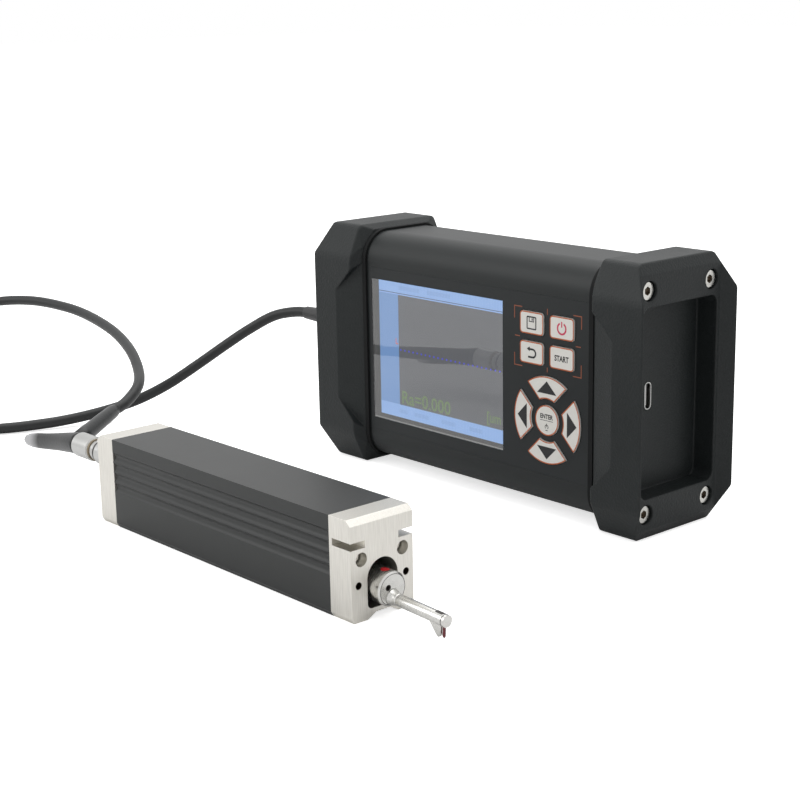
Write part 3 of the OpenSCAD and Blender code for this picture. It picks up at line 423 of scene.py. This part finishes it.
def flat_rect(bm, x0, y0, x1, y1):
    """Adds a flat rectangle to a print."""
    made = bmesh.ops.create_grid(bm, x_segments=1, y_segments=1, size=0.5)["verts"]
    bmesh.ops.transform(bm, verts=made, matrix=Matrix.Translation(((x0 + x1) / 2, (y0 + y1) / 2, 0)) @ Matrix.Diagonal(
        (x1 - x0, y1 - y0, 1.0, 1.0)))
    return made


def ink(name, dark, light, roughness=0.5):
    """Screen-printed ink: a thin opaque coat with an uneven tone."""
    return grained(name, dark, light, roughness, 0.1, 6000.0, 0.000003, 300.0)


def print_on(name, bm, mat, x, z, depth, body="root"):
    """Puts flat work on the panel as a thin print, facing the viewer."""
    bmesh.ops.transform(bm, verts=bm.verts[:], matrix=on_panel(x, z, depth))
    for face in bm.faces:
        if face.normal.y > 0:
            face.normal_flip()
    bm.normal_update()
    obj = add_object(name, as_mesh(name, bm))
    obj.data.materials.append(mat)
    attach(obj, body)


orange_ink = ink("orange_ink", (0.40, 0.085, 0.02), (0.52, 0.125, 0.035))
bracket_ink = ink("bracket_ink", (0.20, 0.050, 0.020), (0.28, 0.072, 0.028))
print_lift = -0.02
bracket_bm = bmesh.new()
bracket_left, bracket_right, bracket_foot, bracket_top = 76.7, 106.7, 35.1, 55.3
arm, rise, line = 3.7, 4.3, 0.36
for x, to_x in ((bracket_left, 1), (bracket_right, -1)):
    for z, to_z in ((bracket_foot, 1), (bracket_top, -1)):
        arm_end = x + to_x * arm
        flat_rect(bracket_bm, min(x, arm_end), z, max(x, arm_end), z + to_z * line)
        flat_rect(bracket_bm, x, z + to_z * line, x + to_x * line, z + to_z * rise)
ticks = ((91.7, 54.8, line, 2.0), (91.7, 35.6, line, 1.6), (78.2, 45.2, 2.2, line), (105.2, 45.2, 2.2, line))
for x, z, w, h in ticks:
    flat_rect(bracket_bm, x - w / 2, z - h / 2, x + w / 2, z + h / 2)
print_on("panel_brackets", bracket_bm, bracket_ink, 0, 0, print_lift)

# Display: a lit colour panel behind a clear cover glass. The picture has a pale blue bar above and
# below with faint menu words, a blue column at its left, and a grey plot with a dotted line and a reading.
panel_metal = grained("panel_metal", (0.30, 0.31, 0.32), (0.42, 0.43, 0.44), roughness=0.4, spread=0.1,
                      grain_scale=2000.0, bump=0.00001, patch_scale=60.0, metallic=0.6)
dress(panel_metal, "display_panel")


def lit(name, colour, other, glow=1.0):
    """A lit patch of the display: two close tones in fine pixel columns."""
    mat, tree, bsdf = shader(name, (0.02, 0.02, 0.02), 0.5)
    place = tree.nodes.new("ShaderNodeTexCoord")
    columns = tree.nodes.new("ShaderNodeTexWave")
    columns.inputs["Scale"].default_value = 420.0
    mix = colour_mix(tree, colour, other)
    wire(tree, (place.outputs["Object"], columns.inputs["Vector"]), (columns.outputs["Fac"], mix.inputs["Factor"]),
         (mix.outputs["Result"], bsdf.inputs["Emission Color"]))
    bsdf.inputs["Emission Strength"].default_value = glow
    return mat


picture_depth, patch_lift, sign_lift = 1.17, 0.006, 0.012
sign_depth = picture_depth - sign_lift
bar_blues = (0.23, 0.38, 0.68), (0.27, 0.43, 0.74)
picture = (
    ("screen_rim", (4.6, 4.4, 71.2, 55.8), 0.0, "rim_grey", (0.050, 0.051, 0.050), (0.070, 0.069, 0.066)),
    ("screen_top", (7.9, 51.3, 71.2, 55.8), patch_lift, "bar_blue", *bar_blues),
    ("screen_foot", (7.9, 6.3, 71.2, 11.1), patch_lift, "foot_blue", *bar_blues),
    ("screen_column", (7.9, 11.1, 18.2, 51.3), patch_lift, "column_blue", (0.14, 0.26, 0.50), (0.165, 0.295, 0.55)),
    ("screen_plot", (18.2, 11.1, 71.2, 51.3), patch_lift, "plot_grey", (0.100, 0.104, 0.112), (0.112, 0.116, 0.124)),
    ("screen_edge", (4.6, 4.4, 71.2, 4.72), patch_lift, "edge_pale", (0.17, 0.17, 0.16), (0.22, 0.22, 0.21)),
    ("screen_line", (7.9, 51.75, 71.2, 52.0), sign_lift, "line_grey", (0.04, 0.05, 0.12), (0.06, 0.07, 0.15)))
for name, box, lift, tone, colour, other in picture:
    patch_bm = bmesh.new()
    flat_rect(patch_bm, *box)
    print_on(name, patch_bm, lit(tone, colour, other), 0, 0, picture_depth - lift)
foot_row, top_row, word_half_h = 8.7, 53.9, 0.75
menu_words = ((17.8, 22.6, foot_row), (25.8, 33.7, foot_row), (40.0, 47.2, foot_row), (54.3, 60.7, foot_row),
              (18.4, 29.5, top_row), (33.5, 45.3, top_row))
menu_blue = lit("menu_blue", (0.19, 0.32, 0.59), (0.25, 0.40, 0.70))
menu_bm = bmesh.new()
for x0, x1, z in menu_words:
    flat_rect(menu_bm, x0, z - word_half_h, x1, z + word_half_h)
print_on("screen_menu", menu_bm, menu_blue, 0, 0, sign_depth)
dot_count, dot_r, dot_x, dot_step, dot_z = 24, 0.32, 19.2, 2.18, 31.4
dot_blue = lit("dot_blue", (0.06, 0.07, 0.85), (0.09, 0.10, 0.95), 0.9)
dots_bm = bmesh.new()
for i in range(dot_count):
    made = bmesh.ops.create_circle(dots_bm, segments=12, radius=dot_r, cap_ends=True)["verts"]
    bmesh.ops.translate(dots_bm, verts=made, vec=(dot_x + i * dot_step, dot_z, 0))
print_on("screen_dots", dots_bm, dot_blue, 0, 0, sign_depth)
mark_red_lit = lit("mark_red", (0.62, 0.13, 0.11), (0.7, 0.18, 0.15), 0.9)
mark_bm = bmesh.new()
flat_rect(mark_bm, 16.5, 33.2, 16.9, 35.3)
flat_rect(mark_bm, 16.9, 33.2, 17.8, 33.6)
print_on("screen_mark", mark_bm, mark_red_lit, 0, 0, sign_depth)


def lettering(name, words, mat, x, z, depth, width, height, body="root", heavy=0.0):
    """Plain letters centred on x and z, scaled to that width and height, as a flat mesh."""
    curve = bpy.data.curves.new(name + "_curve", "FONT")
    curve.body = words
    curve.align_x = "CENTER"
    curve.align_y = "CENTER"
    curve.offset = heavy
    curve.resolution_u = 3
    text = bpy.data.objects.new(name + "_text", curve)
    bpy.context.scene.collection.objects.link(text)
    bpy.context.view_layer.update()
    mesh = bpy.data.meshes.new_from_object(text.evaluated_get(bpy.context.evaluated_depsgraph_get()))
    bpy.data.objects.remove(text)
    bpy.data.curves.remove(curve)
    bm = bmesh.new()
    bm.from_mesh(mesh)
    bpy.data.meshes.remove(mesh)
    low = Vector([min(v.co[k] for v in bm.verts) for k in range(3)])
    high = Vector([max(v.co[k] for v in bm.verts) for k in range(3)])
    bmesh.ops.translate(bm, verts=bm.verts[:], vec=-(low + high) / 2)
    bmesh.ops.scale(bm, verts=bm.verts[:], vec=(width / (high.x - low.x), height / (high.y - low.y), 1.0))
    print_on(name, bm, mat, x, z, depth, body)


reading_green = lit("reading_green", (0.135, 0.205, 0.085), (0.150, 0.225, 0.095))
reading_z, reading_h, reading_heavy = 14.1, 4.9, 0.012
for name, words, x, width in (("screen_reading", "Ra=0.000", 32.2, 25.4), ("screen_unit", "[um", 66.4, 6.6)):
    lettering(name, words, reading_green, x, reading_z, sign_depth, width, reading_h, heavy=reading_heavy)
cover_glass, glass_tree, glass_shader = shader("cover_glass", (0.97, 0.98, 1.0), 0.03)
glass_shader.inputs["Transmission Weight"].default_value = 1.0
glass_shader.inputs["IOR"].default_value = 1.7
glass_place = glass_tree.nodes.new("ShaderNodeTexCoord")
glass_smear = glass_tree.nodes.new("ShaderNodeTexNoise")
glass_smear.inputs["Scale"].default_value = 90.0
glass_range = ramp(glass_tree, low=0.0, high=0.03)
wire(glass_tree, (glass_place.outputs["Object"], glass_smear.inputs["Vector"]),
     (glass_smear.outputs["Fac"], glass_range.inputs["Value"]),
     (glass_range.outputs["Result"], glass_shader.inputs["Roughness"]))
dress(cover_glass, "display_glass")

# Keys: warm grey moulded tops that stand a little proud of the overlay, each with an orange rim.
# Black and crimson signs are printed on them, and every print moves with its key.
key_grey = grained("key_grey", (0.68, 0.665, 0.625), (0.78, 0.765, 0.72), roughness=0.5, spread=0.08,
                   grain_scale=3500.0, bump=0.000012)
key_names = ("save", "power", "back", "start", "up", "down", "left", "right", "enter")
dress(key_grey, *["key_" + k for k in key_names])
key_black = ink("key_black", (0.006, 0.006, 0.007), (0.012, 0.012, 0.013), 0.6)
key_crimson = ink("key_crimson", (0.50, 0.02, 0.07), (0.60, 0.035, 0.10))
key_face, rim, word_heavy = -0.47, 0.38, 0.035
upper_w, upper_h, upper_r = 10.4, 7.4, 1.2
pad_inner, pad_outer, pad_gap, enter_r = 7.3, 14.7, 4.7, 5.1
arrow = ((0, 13.2, 0), (-4.3, 9.0, 0), (4.3, 9.0, 0))
upper = {"save": (85.0, 50.3), "power": (98.4, 50.3), "back": (85.0, 40.4), "start": (98.4, 40.4)}
pad = (91.9, 18.7)


def only_rim(bm, width):
    """Keeps a band of that width along the outline of a flat shape."""
    band = bmesh.ops.inset_region(bm, faces=bm.faces[:], thickness=width, use_even_offset=True, use_boundary=True)
    kept = set(band["faces"])
    bmesh.ops.delete(bm, geom=[f for f in bm.faces if f not in kept], context="FACES")
    return bm


def rounded_plate(w, h, r):
    """A flat rectangle with round corners, about its middle."""
    bm = bmesh.new()
    flat_rect(bm, -w / 2, -h / 2, w / 2, h / 2)
    bmesh.ops.bevel(bm, geom=bm.verts[:], offset=r, offset_type="OFFSET", segments=6, profile=0.5, affect="VERTICES",
                    material=-1, clamp_overlap=True)
    return bm


def arc_band(bm, x, y, r0, r1, start, end, steps=24):
    """Adds a flat arc between two radii and two angles in degrees."""
    a = radians(start)
    ends = [bm.verts.new((x + r * cos(a), y + r * sin(a), 0)) for r in (r0, r1)]
    edge = bm.edges.new(ends)
    turn = radians(end - start)
    bmesh.ops.spin(bm, geom=ends + [edge], cent=(x, y, 0), axis=(0, 0, 1), angle=turn, steps=steps,
                   use_merge=abs(end - start) >= 360)
    return bm


def ring_plate(turn, r0, r1, bar):
    """One direction key's face: a quarter of a ring between two straight bars, about the pad's middle."""
    bm = arc_band(bmesh.new(), 0, 0, r0, r1, turn, turn + 180, 72)
    for side in (-1, 1):
        a = radians(turn + 90 + side * 45)
        normal = Vector((-sin(a), cos(a), 0)) * side
        bmesh.ops.bisect_plane(bm, geom=bm.verts[:] + bm.edges[:] + bm.faces[:], plane_co=-normal * bar / 2,
                               plane_no=normal, clear_outer=True)
    return bm


for k, (x, z) in upper.items():
    rim_bm = only_rim(rounded_plate(upper_w, upper_h, upper_r), rim)
    print_on("rim_" + k, rim_bm, orange_ink, x, z, key_face, "key_" + k)
for k, turn in (("up", 0), ("left", 90), ("down", 180), ("right", 270)):
    rim_bm = only_rim(ring_plate(turn, pad_inner, pad_outer, pad_gap), rim)
    print_on("rim_" + k, rim_bm, orange_ink, *pad, key_face, "key_" + k)
    sign_bm = bmesh.new()
    sign_bm.faces.new([sign_bm.verts.new(p) for p in arrow])
    bmesh.ops.rotate(sign_bm, verts=sign_bm.verts[:], cent=(0, 0, 0), matrix=Matrix.Rotation(radians(turn), 3, "Z"))
    print_on("sign_" + k, sign_bm, key_black, *pad, key_face, "key_" + k)
enter_bm = arc_band(bmesh.new(), 0, 0, enter_r - rim, enter_r, 0, 360, 64)
print_on("rim_enter", enter_bm, orange_ink, *pad, key_face, "key_enter")
lettering("sign_enter", "ENTER", key_black, pad[0], pad[1] + 1.3, key_face, 5.7, 1.6, "key_enter", word_heavy)
enter_mark = bmesh.new()
flat_rect(enter_mark, -2.9, -0.15, 2.9, 0.02)
arc_band(enter_mark, 0, -2.2, 0.55, 0.8, -50, 230)
flat_rect(enter_mark, -0.5, -3.5, 0.5, -3.25)
flat_rect(enter_mark, -0.12, -2.2, 0.12, -1.0)
print_on("mark_enter", enter_mark, key_black, *pad, key_face, "key_enter")
lettering("sign_start", "START", key_black, 98.4, 40.3, key_face, 6.2, 2.0, "key_start", word_heavy)
save_bm = only_rim(rounded_plate(4.4, 4.4, 0.5), 0.45)
flat_rect(save_bm, -1.15, 0.3, -0.85, 1.85)
flat_rect(save_bm, 0.85, 0.3, 1.15, 1.85)
flat_rect(save_bm, -0.85, 0.3, 0.85, 0.6)
flat_rect(save_bm, 0.1, 0.8, 0.55, 1.6)
print_on("sign_save", save_bm, key_black, *upper["save"], key_face, "key_save")
power_bm = arc_band(bmesh.new(), 0, -0.1, 1.5, 2.1, 118, 422, 48)
flat_rect(power_bm, -0.25, 0.3, 0.25, 2.2)
print_on("sign_power", power_bm, key_crimson, *upper["power"], key_face, "key_power")
back_bm = arc_band(bmesh.new(), 0.55, -0.2, 1.0, 1.65, -90, 90)
flat_rect(back_bm, -1.5, -1.85, 0.55, -1.2)
flat_rect(back_bm, -0.8, 0.8, 0.55, 1.45)
back_bm.faces.new([back_bm.verts.new(p) for p in ((-2.1, 1.17, 0), (-0.75, 0.35, 0), (-0.75, 2.0, 0))])
print_on("sign_back", back_bm, key_black, *upper["back"], key_face, "key_back")

# Boards inside: green glass-fibre circuit boards with black chips, brass pillars and a wrapped battery.
# They are hidden in use and show only when the unit is opened.
board_green = grained("board_green", (0.015, 0.10, 0.035), (0.03, 0.17, 0.06), roughness=0.4, spread=0.1,
                      grain_scale=900.0, bump=0.00002, patch_scale=150.0)
dress(board_green, "main_board", "key_board", "port_board", "drive_board")
chip_black = grained("chip_black", (0.012, 0.012, 0.012), (0.02, 0.02, 0.02), roughness=0.6, spread=0.1,
                     grain_scale=4000.0, bump=0.00001)
dress(chip_black, "board_chips")
pillar_brass = grained("pillar_brass", (0.50, 0.36, 0.14), (0.66, 0.50, 0.22), roughness=0.3, spread=0.15,
                       grain_scale=3000.0, bump=0.000005, patch_scale=100.0, metallic=1.0)
dress(pillar_brass, "board_pillars", "screw_bearing")
battery_wrap = grained("battery_wrap", (0.03, 0.07, 0.22), (0.05, 0.11, 0.30), roughness=0.35, spread=0.1,
                       grain_scale=500.0, bump=0.00003)
dress(battery_wrap, "battery_pack")

# Sockets: the side port's drawn steel shell, and the round cable sockets turned from plated brass.
# All have the dull silver of a nickel finish. The drive unit's plug shows a brass clip ring in its neck.
socket_nickel = grained("socket_nickel", (0.44, 0.44, 0.43), (0.58, 0.58, 0.57), roughness=0.3, spread=0.15,
                        grain_scale=2500.0, bump=0.000006, patch_scale=100.0, metallic=1.0)
dress(socket_nickel, "usb_socket", "host_socket", "drive_socket", "drive_plug")
# Dark colour of joint lines; on the pickup it is also painted shade in the slot and the vent.
joint_dark_and_shade = grained("joint_dark_and_shade", (0.020, 0.018, 0.016), (0.045, 0.040, 0.036), roughness=0.5, spread=0.1,
                    grain_scale=3000.0, bump=0.000004)


def turned_band(name, mat, body, place, x0, x1, r0, r1, start=0.0, sweep=360.0):
    """A narrow turned band about the X axis of a place, or part of one, drawn in millimetres."""
    bm = bmesh.new()
    made = flat_rect(bm, x0, r0, x1, r1)
    bmesh.ops.rotate(bm, verts=made, cent=(0, 0, 0), matrix=Matrix.Rotation(radians(start), 3, "X"))
    full = sweep >= 360
    if full:
        bmesh.ops.delete(bm, geom=bm.faces[:], context="FACES_ONLY")
    bmesh.ops.spin(bm, geom=bm.verts[:] + bm.edges[:] + bm.faces[:], cent=(0, 0, 0), axis=(1, 0, 0),
                   angle=radians(sweep), steps=64 if full else 12, use_merge=full)
    bmesh.ops.scale(bm, verts=bm.verts[:], vec=(mm, mm, mm))
    bmesh.ops.transform(bm, verts=bm.verts[:], matrix=place)
    place_mesh(name, bm, mat, body, smooth=False)


drive_y = -0.0638
plug_place = Matrix.Translation((-0.0735, drive_y, 0.0185))
clip_brass = grained("clip_brass", (0.16, 0.13, 0.09), (0.30, 0.25, 0.18), roughness=0.35, spread=0.1,
                     grain_scale=3000.0, bump=0.000004, patch_scale=100.0, metallic=1.0)
turned_band("plug_clip", clip_brass, "root", plug_place, -18.9, -18.0, 3.5, 3.9)
turned_band("plug_gap", joint_dark_and_shade, "root", plug_place, -15.6, -14.7, 3.5, 3.85)

# Housing of the drive unit: an aluminium extrusion with shallow round flutes along both sides,
# blasted and anodised in a slightly greyer black than the case.
housing_black = grained("housing_black", (0.0135, 0.0150, 0.0146), (0.0200, 0.0220, 0.0214), roughness=0.40,
                        spread=0.06, grain_scale=5000.0, bump=0.000006, specular=0.4)
dress(housing_black, "drive_housing")

# End plates of the drive unit: bare milled aluminium, brushed upright, with broken edges.
# The brushing is fine, so the plates look nearly white where they face the light. Painted shade
# darkens the insides of the two small threaded holes of the front plate.
plate_edge, plate_edge_steps, sharp_over = 0.00025, 2, radians(28.0)
weld_near, flat_under = 0.000002, radians(0.5)
hole_apart, hole_z, shade_reach, shade_below = 0.00875, 0.0108, 0.0013, 0.0583
brushing_spread = 0.08


def brushed(name, dark, light, roughness, stretch, bump):
    """Bare metal brushed along one way: noise drawn out by the stretch."""
    mat, tree, bsdf = shader(name, light, roughness, 1.0)
    place = tree.nodes.new("ShaderNodeTexCoord")
    drawn = tree.nodes.new("ShaderNodeMapping")
    drawn.inputs["Scale"].default_value = stretch
    lines = tree.nodes.new("ShaderNodeTexNoise")
    lines.inputs["Scale"].default_value = 1.0
    lines.inputs["Detail"].default_value = 3.0
    tone = colour_mix(tree, dark, light)
    dull = ramp(tree, low=roughness - brushing_spread, high=roughness + brushing_spread)
    relief = tree.nodes.new("ShaderNodeBump")
    relief.inputs["Distance"].default_value = bump
    wire(tree, (place.outputs["Object"], drawn.inputs["Vector"]), (drawn.outputs["Vector"], lines.inputs["Vector"]),
         (lines.outputs["Fac"], tone.inputs["Factor"]), (lines.outputs["Fac"], dull.inputs["Value"]),
         (lines.outputs["Fac"], relief.inputs["Height"]), (tone.outputs["Result"], bsdf.inputs["Base Color"]),
         (dull.outputs["Result"], bsdf.inputs["Roughness"]), (relief.outputs["Normal"], bsdf.inputs["Normal"]))
    return mat


plate_brushed = brushed("plate_brushed", (0.575, 0.555, 0.51), (0.80, 0.78, 0.73), roughness=0.36,
                        stretch=(2600.0, 2600.0, 170.0), bump=0.000006)
dress(plate_brushed, "rear_plate", "motor_bracket", "carriage")
front_brushed = plate_brushed.copy()
front_brushed.name = "front_brushed"
hole_tree = front_brushed.node_tree
front_shader = hole_tree.nodes["Principled BSDF"]
hole_place = hole_tree.nodes.new("ShaderNodeTexCoord")
hole_split = hole_tree.nodes.new("ShaderNodeSeparateXYZ")
hole_mid, hole_side = sum_node(hole_tree, "ADD", -drive_y), sum_node(hole_tree, "ABSOLUTE")
hole_off, hole_up = sum_node(hole_tree, "SUBTRACT", hole_apart), sum_node(hole_tree, "SUBTRACT", hole_z)
hole_join = hole_tree.nodes.new("ShaderNodeCombineXYZ")
hole_range = hole_tree.nodes.new("ShaderNodeVectorMath")
hole_range.operation = "LENGTH"
hole_near, hole_deep = sum_node(hole_tree, "LESS_THAN", shade_reach), sum_node(hole_tree, "LESS_THAN", shade_below)
hole_both = sum_node(hole_tree, "MULTIPLY")
# Painted shade: inside each small threaded hole, behind the plate's face, the colour turns dark brown.
hole_shade = colour_mix(hole_tree, b=(0.10, 0.075, 0.05))
wire(hole_tree, (hole_place.outputs["Object"], hole_split.inputs["Vector"]),
     (hole_split.outputs["Y"], hole_mid.inputs[0]), (hole_mid.outputs[0], hole_side.inputs[0]),
     (hole_side.outputs[0], hole_off.inputs[0]), (hole_split.outputs["Z"], hole_up.inputs[0]),
     (hole_off.outputs[0], hole_join.inputs["X"]), (hole_up.outputs[0], hole_join.inputs["Y"]),
     (hole_join.outputs["Vector"], hole_range.inputs[0]), (hole_range.outputs["Value"], hole_near.inputs[0]),
     (hole_split.outputs["X"], hole_deep.inputs[0]), (hole_near.outputs[0], hole_both.inputs[0]),
     (hole_deep.outputs[0], hole_both.inputs[1]), (hole_both.outputs[0], hole_shade.inputs["Factor"]),
     (front_shader.inputs["Base Color"].links[0].from_socket, hole_shade.inputs["A"]),
     (hole_shade.outputs["Result"], front_shader.inputs["Base Color"]))
dress(front_brushed, "front_plate")
for name in ("front_plate", "rear_plate"):
    weld = nodes[name].modifiers.new("weld", "WELD")
    weld.merge_threshold = weld_near
    flat = nodes[name].modifiers.new("flat_faces", "DECIMATE")
    flat.decimate_type = "DISSOLVE"
    flat.angle_limit = flat_under
    edge = nodes[name].modifiers.new("edge_round", "BEVEL")
    edge.width = plate_edge
    edge.segments = plate_edge_steps
    edge.limit_method = "ANGLE"
    edge.angle_limit = sharp_over
    edge.harden_normals = False

# Motor: a small can of drawn steel on the lead screw's axis, with fine lines along it.
# Its bracket holds it inside the housing, where it isn't seen.
motor_can = brushed("motor_can", (0.40, 0.41, 0.42), (0.52, 0.53, 0.54), roughness=0.35,
                    stretch=(400.0, 5000.0, 5000.0), bump=0.000004)
dress(motor_can, "drive_motor")

# Pickup: turned stainless collar and nose tube with fine turning rings, ground skid below the tip.
# The joint lines of its disc and tip cap are dark; painted shade darkens the slot behind the cap and the small vent.
# A red mark is inlaid on top, and the stylus needle is a dark red stone.
pickup_turned = brushed("pickup_turned", (0.52, 0.515, 0.495), (0.70, 0.695, 0.67), roughness=0.27,
                        stretch=(2400.0, 300.0, 300.0), bump=0.000003)
dress(pickup_turned, "pickup_body", "nose_tube", "stylus_arm")
mark_red = ink("mark_red_paint", (0.42, 0.012, 0.016), (0.55, 0.02, 0.025), 0.35)
dress(mark_red, "pickup_mark")
droop, tube_drop = radians(2.5), 0.0023
pickup_place = Matrix.Translation((0.0035, drive_y, 0.0113)) @ Matrix.Rotation(droop, 4, "Y")
tube_place = pickup_place @ Matrix.Translation((0, 0, -tube_drop))
tip_at, tube_r, disc_at, disc_r = 81.5, 1.8, 59.2, 4.62
fillet_l, fillet_h, fillet_proud, fillet_under = 3.0, 0.72, 0.01, 0.2
fillet_bm = bmesh.new()
fillet_line = [fillet_bm.verts.new((disc_at + fillet_l * t, tube_r + fillet_proud + fillet_h * (1 - t) ** 2, 0))
               for t in (0.0, 0.12, 0.25, 0.4, 0.55, 0.7, 0.85, 1.0)]
fillet_line += [fillet_bm.verts.new((disc_at + x, tube_r - fillet_under, 0)) for x in (fillet_l, 0.0)]
fillet_edges = [fillet_bm.edges.new(pair) for pair in zip(fillet_line, fillet_line[1:] + fillet_line[:1])]
bmesh.ops.spin(fillet_bm, geom=fillet_line + fillet_edges, cent=(0, 0, 0), axis=(1, 0, 0), angle=2 * pi, steps=48,
               use_merge=True)
bmesh.ops.scale(fillet_bm, verts=fillet_bm.verts[:], vec=(mm, mm, mm))
bmesh.ops.transform(fillet_bm, verts=fillet_bm.verts[:], matrix=tube_place)
place_mesh("nose_fillet", fillet_bm, pickup_turned, "pickup")
turned_band("tip_line", joint_dark_and_shade, "pickup", tube_place, tip_at - 1.05, tip_at - 0.8, tube_r - 0.1, tube_r + 0.015)
# Painted shade: a dark band on the tube stands for the shade inside the slot behind the tip cap.
turned_band("tip_slot_shade", joint_dark_and_shade, "pickup", tube_place, tip_at - 4.3, tip_at - 1.5, tube_r - 0.1, tube_r + 0.1,
            start=70.0, sweep=40.0)
turned_band("disc_line", joint_dark_and_shade, "pickup", pickup_place, disc_at - 0.08, disc_at + 0.012, disc_r - 0.16, disc_r)
# Painted shade: a dark lining inside the small vent hole stands for the shade in it.
vent_place = pickup_place @ Matrix.Translation((0, -0.0016, 0.0008))
turned_band("vent_shade", joint_dark_and_shade, "pickup", vent_place, disc_at - 2.8, disc_at - 0.1, 0.70, 0.94)
needle_stone = ink("needle_stone", (0.10, 0.008, 0.014), (0.16, 0.012, 0.02), 0.25)
dress(needle_stone, "stylus_needle")

# Plug at the display unit: a black moulded nut on the round socket, with a tapering boot.
# The boot is moulded on the cable and carries it.
plug_moulded = grained("plug_moulded", (0.014, 0.014, 0.015), (0.024, 0.024, 0.025), roughness=0.45, spread=0.1,
                       grain_scale=2500.0, bump=0.00002)
dress(plug_moulded, "host_plug")

# Stage: a white table top that keeps the soft shadows, under an even white studio with a large
# lamp overhead and a weaker one at the left.
table_half, table_seen, table_mirrored = 6.0, 0.68, 0.04
table_mat, table_tree, table_shader = shader("table_white", (0.9, 0.9, 0.9), 0.9, specular=0.0)
table_path = table_tree.nodes.new("ShaderNodeLightPath")
table_glow = sum_node(table_tree, "MULTIPLY_ADD", table_seen)
table_gloss = sum_node(table_tree, "MULTIPLY", table_mirrored)
table_shader.inputs["Emission Color"].default_value = (1.0, 1.0, 1.0, 1.0)
wire(table_tree, (table_path.outputs["Is Glossy Ray"], table_gloss.inputs[0]),
     (table_path.outputs["Is Camera Ray"], table_glow.inputs[0]), (table_gloss.outputs[0], table_glow.inputs[2]),
     (table_glow.outputs[0], table_shader.inputs["Emission Strength"]))
table_bm = bmesh.new()
bmesh.ops.create_grid(table_bm, x_segments=1, y_segments=1, size=table_half)
table_top = add_object("table_top", as_mesh("table_top", table_bm))
table_top.data.materials.append(table_mat)

studio_dim, studio_white = 0.55, 1.0
studio = bpy.data.worlds.new("studio")
studio.use_nodes = True
bpy.context.scene.world = studio
studio_tree = studio.node_tree
studio_back = studio_tree.nodes["Background"]
studio_back.inputs["Color"].default_value = (1.0, 1.0, 1.0, 1.0)
studio_path = studio_tree.nodes.new("ShaderNodeLightPath")
seen, mirrored = sum_node(studio_tree, "MAXIMUM"), sum_node(studio_tree, "MAXIMUM")
studio_strength = ramp(studio_tree, low=studio_dim, high=studio_white)
wire(studio_tree, (studio_path.outputs["Is Camera Ray"], seen.inputs[0]),
     (studio_path.outputs["Is Transmission Ray"], seen.inputs[1]), (seen.outputs[0], mirrored.inputs[0]),
     (studio_path.outputs["Is Glossy Ray"], mirrored.inputs[1]),
     (mirrored.outputs[0], studio_strength.inputs["Value"]),
     (studio_strength.outputs["Result"], studio_back.inputs["Strength"]))


def lamp(name, size, power, place, aim):
    """A square soft lamp at a place, turned to an aim."""
    data = bpy.data.lights.new(name, "AREA")
    data.size = size
    data.energy = power
    obj = add_object(name, data)
    obj.location = place
    obj.rotation_euler = (Vector(aim) - Vector(place)).to_track_quat("-Z", "Y").to_euler()


lamp_aim = (0.0, 0.0, 0.03)
lamp("lamp_above", size=1.5, power=13.0, place=(-0.1, 0.25, 1.3), aim=lamp_aim)
lamp("lamp_left", size=0.8, power=4.0, place=(-0.7, -0.9, 0.7), aim=lamp_aim)
bpy.context.scene.view_settings.view_transform = "Standard"
